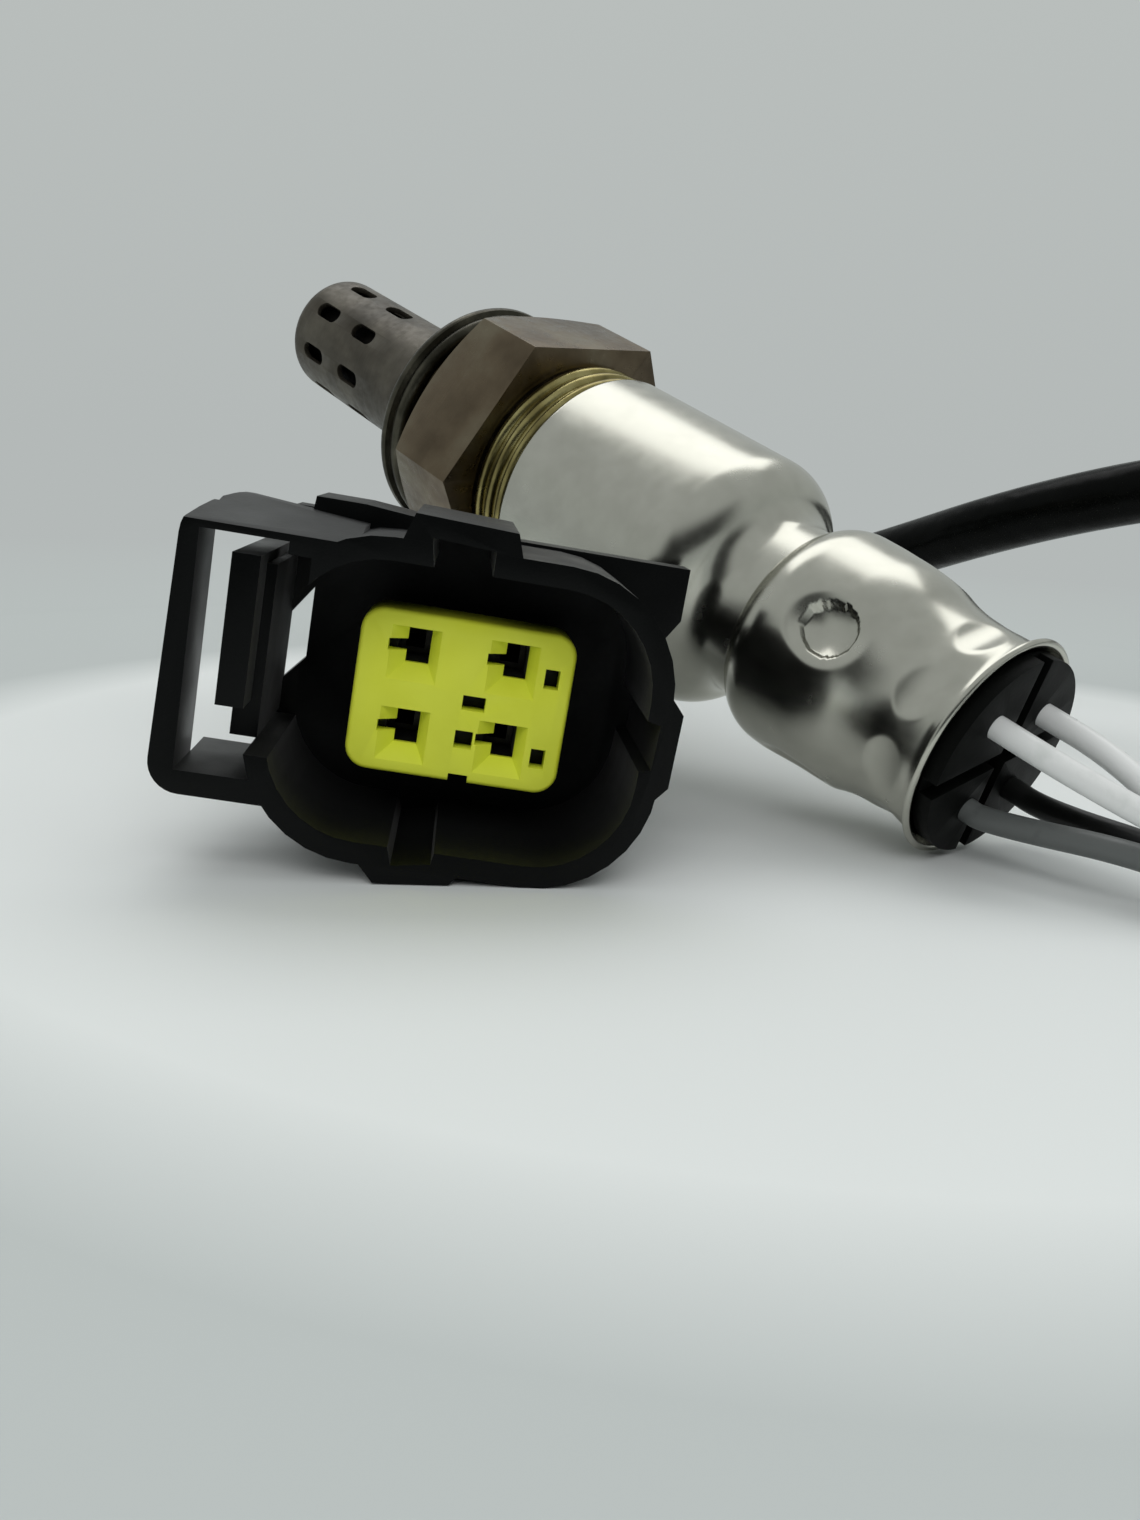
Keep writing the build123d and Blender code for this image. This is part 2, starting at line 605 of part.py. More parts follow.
# ------------------------------------------------------------------ connector
BACK_Z = -SHROUD_DEPTH - BACK_T
BLOCK_Z = BACK_Z - BLOCK_LEN
COVER_Z = BLOCK_Z - COVER_T
SLEEVE_END = COVER_Z - SNOUT_LEN
SEAL_Z = BLOCK_Z + SEAL_LEN
TERMINAL_Z = TOWER_FRONT - TERMINAL_SET


def rounded(width, height, radius, inset=0.0):
    return RectangleRounded(width - 2 * inset, height - 2 * inset, radius - inset)


def port_centres():
    """Centres of the four ports on the face of the socket."""
    x, y = PORT_AT
    return [(x + i * PORT_X / 2, y + j * PORT_Y / 2) for i in (-1, 1) for j in (1, -1)]


def outline(*corners):
    return make_face(Polyline(*corners, close=True))


def latch_frame():
    """Loop moulded on the side of the shroud that guards the latch."""
    loop = outline(
        (FRAME_LEFT, FRAME_BOTTOM), (FRAME_RIGHT - FRAME_STEP, FRAME_BOTTOM),
        (FRAME_RIGHT, FRAME_BOTTOM - FRAME_STEP), (FRAME_RIGHT, FRAME_TOP - FRAME_STEP),
        (FRAME_LEFT + FRAME_LEAN, FRAME_TOP),
    )
    corners = loop.vertices().group_by(Axis.X)
    loop = fillet(corners[0] + corners[1], FRAME_CORNER_R)
    inner_x = FRAME_LEFT + FRAME_BAR
    body = plate(loop, -FRAME_SHELF, 0)
    body -= slab(
        inner_x, -SHROUD_W / 2 + SHROUD_WALL, FRAME_BOTTOM + FRAME_BOTTOM_BAR, FRAME_TOP - FRAME_TOP_BAR,
        -FRAME_SHELF - 1, 1,
    )
    body -= slab(FRAME_LEFT - 1, inner_x, FRAME_BOTTOM - 1, FRAME_TOP + 1, -FRAME_SHELF - 1, -FRAME_DEPTH)
    above = Box(SHROUD_W, SHROUD_H, 2 * FRAME_SHELF, align=(Align.CENTER, Align.MIN, Align.MIN))
    return body - Pos(FRAME_LEFT, FRAME_TOP, -FRAME_SHELF) * Rot(FRAME_SLOPE, 0, 0) * above


def rear_flange():
    """Flange behind the shroud, with an ear at its upper corner."""
    ear = RIM_TOP - RIM_EAR_DROP
    flange = outline(
        (-SHROUD_W / 2, RIM_BOTTOM), (RIM_RIGHT, RIM_BOTTOM), (RIM_RIGHT, ear - RIM_EAR_SLOPE),
        (RIM_EAR, ear), (RIM_EAR, RIM_TOP), (-SHROUD_W / 2, RIM_TOP),
    )
    return fillet(flange.vertices().sort_by(Axis.Y)[:2], SHROUD_CORNER_R)


def connector_housing():
    """Moulded shroud, latch and flange in one, with the tower that carries the terminals."""
    floor = -SHROUD_DEPTH - ROOT
    body = plate(rounded(SHROUD_W, SHROUD_H, SHROUD_CORNER_R), BACK_Z, 0)
    for key in (TOP_KEY, SIDE_KEY, FOOT_KEY):
        body += plate(outline(*key), -SHROUD_DEPTH, 0)
    body += plate(outline(*DECK), BACK_Z, DECK_FRONT)
    body += plate(rear_flange(), BACK_Z, BACK_Z + RIM_T)
    body += plate(rounded(BLOCK_W, BLOCK_H, BLOCK_CORNER_R), BLOCK_Z, BACK_Z)
    body += latch_frame()

    body -= plate(rounded(SHROUD_W, SHROUD_H, SHROUD_CORNER_R, SHROUD_WALL), -SHROUD_DEPTH, 1)
    for keyway in (TOP_KEYWAY, SIDE_KEYWAY, FOOT_KEYWAY):
        body -= plate(outline(*keyway), -SHROUD_DEPTH, 1)
    body -= slab(-SHROUD_W / 2 - 1, -SHROUD_W / 2 + 2 * SHROUD_WALL, *LATCH_GAP, -SHROUD_DEPTH, 1)
    body -= plate(outline(*SIGHT_HOLE), BACK_Z - 1, 0)
    body -= plate(rounded(SEAL_W, SEAL_H, BLOCK_CORNER_R), BLOCK_Z - 1, SEAL_Z)

    body += slab(LATCH_X, LATCH_X + LATCH_T, LATCH_BOTTOM, LATCH_TOP, BACK_Z, LATCH_FRONT)
    rib_x = LATCH_X + RIB_SHIFT
    body += slab(rib_x, rib_x + LATCH_T, LATCH_BOTTOM - RIB_DROP, LATCH_TOP - RIB_SHIFT, floor, RIB_FRONT)
    body += plate(rounded(TOWER_W, TOWER_H, HOLDER_CORNER_R), floor, TOWER_FRONT)
    side = TERMINAL + 2 * FIT
    for x, y in port_centres():
        body -= window(x, y, side, side, SEAL_Z - 1, 1)
    return body


def window(x, y, width, height, z0, z1):
    return Pos(x, y, (z0 + z1) / 2) * Box(width, height, z1 - z0)


def funnel(x, y):
    """Four sloping faces that lead a blade into a port."""
    mouth = Pos(x + FUNNEL_AT[0], y + FUNNEL_AT[1], HOLDER_FRONT) * Rectangle(*FUNNEL)
    throat = Pos(x + HOLDER_PORT_X, y, HOLDER_FRONT - HOLDER_PULL) * Rectangle(*HOLDER_PORT)
    return loft([throat, mouth]) + extrude(mouth, amount=1)


def terminal_holder():
    """Coloured cap that locks the terminals: four T ports, each in its own funnel."""
    skirt = TOWER_FRONT - HOLDER_SKIRT
    low, high = TOWER_FRONT - 1, HOLDER_FRONT + 1
    width = TOWER_W + 2 * (HOLDER_WALL + FIT)
    height = TOWER_H + 2 * (HOLDER_WALL + FIT)
    port_w, port_h = HOLDER_PORT
    blade_w, blade_h = HOLDER_BLADE
    body = plate(rounded(width, height, HOLDER_CORNER_R), skirt, HOLDER_FRONT)
    body = fillet(body.faces().sort_by(Axis.Z)[-1].edges(), HOLDER_WALL / 2)
    body -= plate(rounded(TOWER_W + 2 * FIT, TOWER_H + 2 * FIT, HOLDER_CORNER_R), skirt - 1, TOWER_FRONT)
    for x, y in port_centres():
        body -= funnel(x, y)
        body -= window(x + HOLDER_PORT_X, y, port_w, port_h, low, high)
        body -= window(x - blade_w / 2, y, blade_w + FIT, blade_h, low, high)
    shift, drop, foot_w, foot_h = FOOT_SLOT
    body -= window(x - shift, y - drop, foot_w, foot_h, low, high)
    for x, y, slot_w, slot_h in KEY_SLOTS:
        body -= window(x, y, slot_w, slot_h, low, high)
    notch_x, notch_w = HOLDER_NOTCH
    body -= window(notch_x, -height / 2, notch_w, 2 * HOLDER_WALL, skirt - 1, high)
    return body


def socket_terminal(x, y):
    """Square sheet terminal, open towards the mating blade."""
    side = TERMINAL / 2
    body = slab(x - side, x + side, y - side, y + side, SEAL_Z + FIT, TERMINAL_Z)
    bore = TERMINAL_BORE / 2
    return body - slab(x - bore, x + bore, y - bore, y + bore, SEAL_Z + TERMINAL, 1)


def wire_seal():
    """Rubber mat behind the terminals with a sealing hole for each wire."""
    body = plate(rounded(SEAL_W, SEAL_H, BLOCK_CORNER_R, FIT), BLOCK_Z, SEAL_Z)
    for x, y in port_centres():
        body -= Pos(x, y, 0) * rod(WIRE_R, BLOCK_Z - 1, SEAL_Z + 1)
    return body


def seal_cover():
    """Cap that keeps the seal in, with a round snout for the sleeve."""
    body = plate(rounded(BLOCK_W, BLOCK_H, BLOCK_CORNER_R), COVER_Z, BLOCK_Z)
    body += rod(SNOUT_R, SLEEVE_END, COVER_Z)
    return body - rod(SLEEVE_R - WIRE_R, SLEEVE_END - 1, BLOCK_Z + 1)


# ------------------------------------------------------------------ the whole part
sensor_nodes = {
    "hex_housing": hex_housing(),
    "seat_gasket": seat_gasket(),
    "outer_protection_tube": outer_protection_tube(),
    "inner_protection_tube": inner_protection_tube(),
    "sensing_element": sensing_element(),
    "element_washer": element_washer(),
    "talc_seal": talc_seal(),
    "packing_ring": packing_ring(),
    "heater_rod": heater_rod(),
    "crimp_ring": crimp_ring(),
    "main_shell": main_shell(),
    "rear_shell": rear_shell(),
    "spring_ring": spring_ring(),
    "ceramic_insulator": ceramic_insulator(),
    "heater_contact_1": heater_contact(HEATER_1_ANGLE),
    "heater_contact_2": heater_contact(HEATER_2_ANGLE),
    "signal_contact": signal_contact(),
    "ground_contact": ground_contact(),
    "grommet": grommet(),
}
connector_nodes = {
    "connector_housing": connector_housing(),
    "terminal_holder": terminal_holder(),
    "wire_seal": wire_seal(),
    "seal_cover": seal_cover(),
}
for name, (x, y) in zip(("heater_terminal_1", "heater_terminal_2", "ground_terminal", "signal_terminal"),
                        port_centres()):
    connector_nodes[name] = socket_terminal(x, y)
cable_nodes = {
    "heater_wire_1": wire(HEATER_1_ANGLE, -1, 1),
    "heater_wire_2": wire(HEATER_2_ANGLE, 1, 1),
    "ground_wire": wire(GROUND_ANGLE, -1, -1),
    "signal_wire": wire(SIGNAL_ANGLE, 1, -1),
    "cable_sleeve": cable_sleeve(),
}

for name, solid in sensor_nodes.items():
    save(SENSOR * solid, name)
for name, solid in connector_nodes.items():
    save(SOCKET * solid, name)
for name, solid in cable_nodes.items():
    save(solid, name)
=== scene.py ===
import json
import logging
import math
from collections.abc import Sequence
from dataclasses import dataclass
from enum import Enum

import bmesh
import bpy
from bmesh.types import BMesh
from bpy.types import NodeSocket
from mathutils import Matrix, Vector

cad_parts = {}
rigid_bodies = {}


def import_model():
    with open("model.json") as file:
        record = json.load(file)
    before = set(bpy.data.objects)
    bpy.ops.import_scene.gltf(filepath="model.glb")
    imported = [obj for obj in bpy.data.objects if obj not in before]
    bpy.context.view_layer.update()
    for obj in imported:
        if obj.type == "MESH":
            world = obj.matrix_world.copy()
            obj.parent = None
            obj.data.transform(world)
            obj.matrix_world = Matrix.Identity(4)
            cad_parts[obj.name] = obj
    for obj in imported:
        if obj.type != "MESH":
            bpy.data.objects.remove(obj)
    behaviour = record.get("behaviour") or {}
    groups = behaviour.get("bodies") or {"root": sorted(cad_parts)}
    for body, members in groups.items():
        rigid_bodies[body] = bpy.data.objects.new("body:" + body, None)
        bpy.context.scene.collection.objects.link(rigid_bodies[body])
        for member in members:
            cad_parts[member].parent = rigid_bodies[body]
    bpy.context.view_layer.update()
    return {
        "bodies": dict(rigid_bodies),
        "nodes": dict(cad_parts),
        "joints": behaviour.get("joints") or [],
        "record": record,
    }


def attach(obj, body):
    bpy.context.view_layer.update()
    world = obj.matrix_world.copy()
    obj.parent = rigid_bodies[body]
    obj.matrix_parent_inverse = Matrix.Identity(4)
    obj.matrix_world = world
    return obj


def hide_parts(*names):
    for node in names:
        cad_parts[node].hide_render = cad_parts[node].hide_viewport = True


log = logging.getLogger("oxygen_sensor")

MM = 0.001
Point2 = tuple[float, float]
Point3 = tuple[float, float, float]
Feed = NodeSocket | float | str | Sequence[float]


# ---- frames
class Frame3(Enum):
    """The local frames in which pieces are drawn, named for what they carry."""

    SENSOR = "sensor"
    SOCKET = "socket"
    TABLE = "table"


SENSOR_TILT = math.radians(20.35)
SENSOR_AT = Vector((-4.63, 0.0, 23.20))
SOCKET_AT = Vector((22.23, -32.07, 10.1))
SOCKET_HEADING = math.radians(-38.99)
SOCKET_ROLL = math.radians(7.0)


def local_frame(kind: Frame3) -> Matrix:
    """Matrix from millimetres in a local frame to metres in the part's frame.

    Args:
        kind: The local frame.

    Returns:
        The matrix, with its scale of a thousandth.
    """
    if kind is Frame3.TABLE:
        return Matrix.Scale(MM, 4)
    roll = Matrix.Identity(4)
    if kind is Frame3.SENSOR:
        out = Vector((math.cos(SENSOR_TILT), 0.0, -math.sin(SENSOR_TILT)))
        side, at = Vector((0.0, 1.0, 0.0)), SENSOR_AT
    else:
        out = Vector((math.cos(SOCKET_HEADING), math.sin(SOCKET_HEADING), 0.0))
        side, at = Vector((-out.y, out.x, 0.0)), SOCKET_AT
        roll = Matrix.Rotation(-SOCKET_ROLL, 4, "Z")
    turn = Matrix((side, out.cross(side), out)).transposed().to_4x4()
    return Matrix.Scale(MM, 4) @ Matrix.Translation(at) @ turn @ roll


# ---- colour and nodes
def srgb(code: str) -> tuple[float, float, float, float]:
    """Turn a written colour into the linear values that the shader takes.

    Args:
        code: Six hex digits, sRGB.

    Returns:
        Linear red, green, blue and an alpha of 1.
    """
    parts = [int(code[i : i + 2], 16) / 255 for i in (0, 2, 4)]
    linear = [p / 12.92 if p <= 0.04045 else ((p + 0.055) / 1.055) ** 2.4 for p in parts]
    return (*linear, 1.0)


class Nodes:
    """The nodes of a material or of the room."""

    def __init__(self, owner: bpy.types.Material | bpy.types.World) -> None:
        """Switch the owner to nodes."""
        owner.use_nodes = True
        self.tree = owner.node_tree

    def fill(self, node: bpy.types.Node, values: dict[str | int, Feed]) -> None:
        """Link or set the inputs of a node, and set its own choices.

        Args:
            node: The node.
            values: By an input's name or place, or by the name of a choice: a socket to link or a value.
        """
        for key, value in values.items():
            if isinstance(key, str) and key not in node.inputs:
                setattr(node, key, value)
            elif isinstance(value, NodeSocket):
                self.tree.links.new(value, node.inputs[key])
            else:
                node.inputs[key].default_value = value

    def add(self, kind: str, *feeds: Feed, out: str | int = 0, stops: Sequence[tuple[float, str]] = (),
            **choices: Feed) -> NodeSocket:
        """Add a node with its settings and links.

        Args:
            kind: Its type, without ShaderNode in front.
            feeds: Sockets or values for its first inputs, in their order.
            out: The output that is wanted.
            stops: Places and sRGB colours along a colour ramp.
            choices: Its own choices, and inputs by name.

        Returns:
            The wanted output.
        """
        node = self.tree.nodes.new(f"ShaderNode{kind}")
        if stops:
            marks = node.color_ramp.elements
            for _ in stops[2:]:
                marks.new(1.0)
            for mark, (spot, code) in zip(marks, stops):
                mark.position, mark.color = spot, srgb(code)
        self.fill(node, {**choices, **dict(enumerate(feeds))})
        return node.outputs[out]

    def place(self, kind: Frame3) -> NodeSocket:
        """Give Object coordinates in millimetres, turned into a local frame.

        Args:
            kind: The local frame.

        Returns:
            The vector socket.
        """
        at, turn, size = local_frame(kind).inverted().decompose()
        return self.add("Mapping", self.add("TexCoord", out="Object"), at, turn.to_euler(), size)


# ---- finishes
@dataclass(frozen=True)
class Pattern:
    """Uneven pattern whose coarsest features have a real size.

    Attributes:
        size_mm: Size of the coarsest features.
        detail: How many times finer ones are added.
        stretch: Factor on each axis, below 1 where the features run long.
    """

    size_mm: float
    detail: float = 3.0
    stretch: Point3 = (1.0, 1.0, 1.0)

    def draw(self, nodes: Nodes, place: NodeSocket) -> NodeSocket:
        """Draw it in a material.

        Args:
            nodes: The material's nodes.
            place: Coordinates in millimetres.

        Returns:
            Its value, mostly from 0.3 to 0.7.
        """
        drawn = nodes.add("VectorMath", place, self.stretch, operation="MULTIPLY")
        return nodes.add("TexNoise", drawn, Scale=1 / self.size_mm, Detail=self.detail, out="Fac")


@dataclass(frozen=True)
class Finish:
    """A named finish whose colour, roughness and relief follow patterns.

    Attributes:
        colours: sRGB colours, each with its place along the tint.
        tint: Pattern of the colours.
        wear: Pattern of the roughness.
        rough: Roughness where the wear is low, and where it is high.
        ridges: Main pattern of the relief, with its depth in depth_mm.
        fine: Pattern laid over the ridges, by the share that follows it.
        wear_high: Where the wear counts as high.
        metal: How metallic it is, the same all over; lower for a finish partly covered by oxide.
        bloom: Dusty sheen seen at low angles.
    """

    name: str
    slot: str
    colours: tuple[tuple[float, str], ...]
    tint: Pattern
    wear: Pattern
    rough: Point2
    ridges: Pattern
    depth_mm: float
    fine: Pattern
    share: float = 0.0
    wear_high: float = 0.7
    metal: float = 0.0
    specular: float = 0.5
    bloom: float = 0.0
    frame: Frame3 = Frame3.SENSOR

    def material(self) -> bpy.types.Material:
        """Give the material, made on first use.

        Returns:
            The material.
        """
        made = bpy.data.materials.get(self.name)
        if made is not None:
            return made
        made = bpy.data.materials.new(self.name)
        nodes = Nodes(made)
        place = nodes.place(self.frame)
        drawn = {p: p.draw(nodes, place) for p in dict.fromkeys((self.tint, self.wear, self.ridges, self.fine))}
        low, high = self.rough
        wear = low if low == high else nodes.add("MapRange", drawn[self.wear], 0.3, self.wear_high, low, high)
        height = nodes.add("Math", drawn[self.fine], self.share, drawn[self.ridges], operation="MULTIPLY_ADD")
        nodes.fill(nodes.tree.nodes["Principled BSDF"], {
            "Base Color": nodes.add("ValToRGB", drawn[self.tint], stops=self.colours),
            "Roughness": wear,
            "Normal": nodes.add("Bump", Height=height, Distance=self.depth_mm * MM, Strength=1.0),
            "Metallic": self.metal,
            "Specular IOR Level": self.specular,
            "Sheen Weight": self.bloom,
            "Sheen Roughness": 0.35,
        })
        return made


def turned_steel(name: str, slot: str, colours: str, rough: float, ring_mm: float, cloud_mm: float,
                 metal: float = 1.0) -> Finish:
    """Turned or drawn steel: clouds of heat colour, and fine rings about the axis.

    Args:
        name: Name of the material.
        slot: Slot of the part.
        colours: Of the dark, middle and light clouds.
        rough: Mean roughness.
        ring_mm: Spacing of the tool rings.
        cloud_mm: Size of the clouds.
        metal: How metallic it is.

    Returns:
        The finish.
    """
    dark, mid, light = colours.split()
    rings, fine = Pattern(ring_mm, 2.0, (0.02, 0.02, 1.0)), Pattern(cloud_mm / 7)
    return Finish(name, slot, ((0.3, dark), (0.5, mid), (0.7, light)), Pattern(cloud_mm, 4.0), fine,
                  (rough - 0.08, rough + 0.1), rings, 0.012, fine, 0.5, metal=metal)


def moulded(name: str, slot: str, colours: str, rough: float, grain_mm: float, depth_mm: float, specular: float,
            frame: Frame3 = Frame3.SOCKET, bloom: float = 0.0) -> Finish:
    """Moulded plastic or rubber: a fine grain and slight flow clouds.

    Args:
        name: Name of the material.
        slot: Slot of the part.
        colours: Of the dark and light clouds.
        rough: Mean roughness.
        grain_mm: Size of the grain.
        depth_mm: Depth of the grain.
        specular: Specular level.
        frame: Frame in which the grain lies.
        bloom: Dusty sheen.

    Returns:
        The finish.
    """
    dark, light = colours.split()
    flow, grain = Pattern(3.5), Pattern(grain_mm)
    return Finish(name, slot, ((0.3, dark), (0.7, light)), flow, flow, (rough - 0.05, rough + 0.07), grain, depth_mm,
                  grain, specular=specular, bloom=bloom, frame=frame)


def insulation(name: str, slot: str, colours: str, rough: float) -> Finish:
    """Extruded wire insulation: smooth, with soiled patches.

    Args:
        name: Name of the material.
        slot: Slot of the part.
        colours: Of the soiled patches and of clean insulation.
        rough: Mean roughness.

    Returns:
        The finish.
    """
    soiled, clean = colours.split()
    soil, skin = Pattern(2.2, 4.0), Pattern(0.25, 2.0)
    return Finish(name, slot, ((0.28, soiled), (0.42, clean)), soil, soil, (rough + 0.08, rough - 0.05), skin, 0.008,
                  skin, frame=Frame3.TABLE)


def powder(name: str, slot: str, colours: str, rough: float) -> Finish:
    """Fired ceramic or pressed powder: matt, with fine grains.

    Args:
        name: Name of the material.
        slot: Slot of the part.
        colours: Of the dark and light grains.
        rough: Roughness.

    Returns:
        The finish.
    """
    dark, light = colours.split()
    grain = Pattern(0.3)
    return Finish(name, slot, ((0.3, dark), (0.7, light)), grain, grain, (rough, rough), grain, 0.02, grain)


# Drawn stainless steel browned by exhaust heat: dull brown clouds, partly oxide
TUBE = turned_steel("heat_tinted_tube", "tube_steel", "3C3830 504B42 645F54", 0.42, 0.25, 5.0, 0.75)
# The same steel under soot: nearly black, seen only through the slots
INNER = turned_steel("sooty_inner_tube", "inner_steel", "100F0D 1B1916 27241F", 0.6, 0.3, 2.0, 0.6)
# Turned steel under a bronze passivation: brown flats with soft reflections
HOUSING = turned_steel("bronzed_hex_steel", "housing_steel", "554A3C 6B5F4E 7C7462", 0.33, 0.22, 6.0)
# Rolled thread: clouds from near black to grey-brown, much darker than the hex
THREAD = turned_steel("dark_thread_steel", "housing_steel", "1C1A14 3A362C 666152", 0.34, 0.5, 1.6)
# Folded steel sheet: colour darkened as painted shade cast by the hex, with the sheen of its rolled edge
GASKET = turned_steel("folded_steel_painted_shade", "gasket_steel", "2E2C25 434138 5E5B50", 0.36, 0.4, 3.0)
# Tinned brass blades: colour darkened as painted shade of their chambers
TERMINAL = turned_steel("tinned_blade_painted_shade", "contact_metal", "2B2924 35332D 403E37", 0.4, 0.3, 3.0, 0.8)
# Nickel strip, stamped: plain and bright
CONTACT = turned_steel("nickel_contact_strip", "contact_metal", "B5B1A4 C7C3B6 D6D3C8", 0.28, 0.3, 3.0)
# Tempered spring strip, rolled: a cool grey
SPRING = turned_steel("tempered_spring_strip", "spring_steel", "6E6D69 8B8A86 A3A29E", 0.3, 0.3, 3.0)
# Crimped steel beads with a straw-gold heat tint, duller in the darker clouds
CRIMP = Finish("gold_tinted_crimp", "crimp_steel", ((0.3, "6C6340"), (0.5, "968B5A"), (0.72, "B9B07C")),
               Pattern(3.0, 4.0), Pattern(3.0, 4.0), (0.34, 0.22), Pattern(0.3), 0.01, Pattern(0.3), metal=1.0)
# Nickel plate over drawn steel: near-mirror, with long soft waves and faint handling marks
SHELL = Finish("bright_nickel_shell", "shell_steel", ((0.3, "B6B5AB"), (0.7, "C2C1B7")), Pattern(2.5, 4.0),
               Pattern(2.5, 4.0), (0.19, 0.29), Pattern(5.0, 2.0, (1.0, 1.0, 0.35)), 0.016,
               Pattern(0.35, 2.0, (1.0, 1.0, 0.08)), 0.05, wear_high=0.75, metal=1.0)
# Fired zirconia and alumina: off-white and matt
CERAMIC = powder("fired_ceramic", "ceramic", "D8D4C8 EFECE2", 0.7)
# Pressed talc: chalky and a little darker
TALC = powder("pressed_talc", "talc", "C8C2B2 DAD6CA", 0.85)
# Moulded fluorocarbon rubber: deep black, almost without shine
GROMMET = moulded("grommet_rubber", "black_rubber", "020302 050605", 0.55, 0.2, 0.015, 0.10, Frame3.SENSOR)
# Glass-filled nylon with a spark-eroded grain: black, greyed at low angles by its bloom
PLUG = moulded("glass_filled_nylon", "connector_black", "020303 050606", 0.4, 0.14, 0.012, 0.14, bloom=0.18)
# Moulded polyester: bright yellow-green with a satin skin
HOLDER = moulded("yellow_green_polyester", "holder_yellow", "E6EE3E EDF54C", 0.42, 0.3, 0.006, 0.4)
# Silicone rubber: brick red with a soft sheen
SEAL = moulded("brick_silicone_seal", "seal_rubber", "5E2A1C 743626", 0.5, 0.2, 0.01, 0.4)
# Extruded silicone: white with faint grey thumb marks, plain grey, and black with a clearer shine
WHITE_WIRE = insulation("white_silicone_wire", "white_wire", "DDDFDD E9EAE9", 0.3)
GREY_WIRE = insulation("grey_silicone_wire", "grey_wire", "535655 616463", 0.42)
BLACK_WIRE = insulation("black_silicone_wire", "black_wire", "050605 0A0B0A", 0.36)
# Extruded vinyl tube: black, with faint creases all along, and a streak of light along it
SLEEVE = Finish("black_vinyl_sleeve", "sleeve_black", ((0.3, "020302"), (0.7, "040504")), Pattern(4.5, 2.0),
                Pattern(0.5), (0.24, 0.3), Pattern(4.5, 2.0), 0.3, Pattern(0.5), 0.02, specular=0.07,
                frame=Frame3.TABLE)


# ---- mesh tools
def lathe(points: Sequence[Point2], steps: int = 144, closed: bool = True) -> BMesh:
    """Spin a half section about Z.

    Args:
        points: Radius and height of each corner, in order; one that repeats the last is dropped.
        steps: Steps in the full turn.
        closed: Whether the section closes on itself, as a ring does.

    Returns:
        The spun mesh.
    """
    bm = bmesh.new()
    kept = [points[0], *(b for a, b in zip(points, points[1:]) if math.dist(a, b) > 1e-4)]
    verts = [bm.verts.new((r, 0.0, z)) for r, z in kept]
    pairs = list(zip(verts, verts[1:])) + ([(verts[-1], verts[0])] if closed else [])
    edges = [bm.edges.new(pair) for pair in pairs]
    bmesh.ops.spin(bm, geom=[*verts, *edges], cent=(0, 0, 0), axis=(0, 0, 1), angle=math.tau,
                   steps=steps, use_merge=True)
    bmesh.ops.remove_doubles(bm, verts=bm.verts, dist=1e-4)
    bmesh.ops.recalc_face_normals(bm, faces=bm.faces)
    return bm


def arc(centre: Point2, radius: float, start: float, end: float, steps: int = 8) -> list[Point2]:
    """Points along an arc of a half section.

    Args:
        centre: Radius and height of its centre.
        radius: Its radius.
        start: First angle in degrees, 0 pointing away from the axis.
        end: Last angle.
        steps: Pieces of the arc.

    Returns:
        The points, both ends included.
    """
    angles = [math.radians(start + (end - start) * i / steps) for i in range(steps + 1)]
    return [(centre[0] + radius * math.cos(a), centre[1] + radius * math.sin(a)) for a in angles]


def run(start: Point2, end: Point2, steps: int) -> list[Point2]:
    """Evenly spaced points along a straight stretch of a half section."""
    return [(start[0] + (end[0] - start[0]) * i / steps, start[1] + (end[1] - start[1]) * i / steps)
            for i in range(steps + 1)]


def prism(corners: Sequence[Point2], z0: float, z1: float, rounds: dict[int, float] | None = None) -> BMesh:
    """Pull an outline from z0 to z1.

    Args:
        corners: The outline in order.
        z0: Lower level.
        z1: Upper level.
        rounds: Radius at some corners, by place in the outline.

    Returns:
        The closed mesh.
    """
    bm = bmesh.new()
    verts = [bm.verts.new((x, y, z0)) for x, y in corners]
    bm.faces.new(verts)
    for corner, radius in (rounds or {}).items():
        bmesh.ops.bevel(bm, geom=[verts[corner]], offset=radius, offset_type="OFFSET", segments=8, profile=0.5,
                        affect="VERTICES", material=-1)
    pulled = bmesh.ops.extrude_face_region(bm, geom=list(bm.faces))
    top = [v for v in pulled["geom"] if isinstance(v, bmesh.types.BMVert)]
    bmesh.ops.translate(bm, verts=top, vec=(0, 0, z1 - z0))
    bmesh.ops.recalc_face_normals(bm, faces=bm.faces)
    return bm


def rounded_prism(width: float, height: float, radius: float, z0: float, z1: float) -> BMesh:
    """Pull a rectangle with round corners, its middle on the axis.

    Args:
        width: Size across.
        height: Size up.
        radius: Corner radius.
        z0: Lower level.
        z1: Upper level.

    Returns:
        The closed mesh.
    """
    x, y = width / 2, height / 2
    return prism([(-x, -y), (x, -y), (x, y), (-x, y)], z0, z1, {i: radius for i in range(4)})


def slab(x0: float, x1: float, y0: float, y1: float, z0: float, z1: float) -> BMesh:
    """A plain block between limits on each axis."""
    return prism([(x0, y0), (x1, y0), (x1, y1), (x0, y1)], z0, z1)


def to_object(name: str, bm: BMesh) -> bpy.types.Object:
    """Put a mesh in an object of its own.

    Args:
        name: Name of both.
        bm: The mesh. It is freed.

    Returns:
        The object, linked to the scene.
    """
    mesh = bpy.data.meshes.new(name)
    bm.to_mesh(mesh)
    bm.free()
    item = bpy.data.objects.new(name, mesh)
    bpy.context.scene.collection.objects.link(item)
    return item


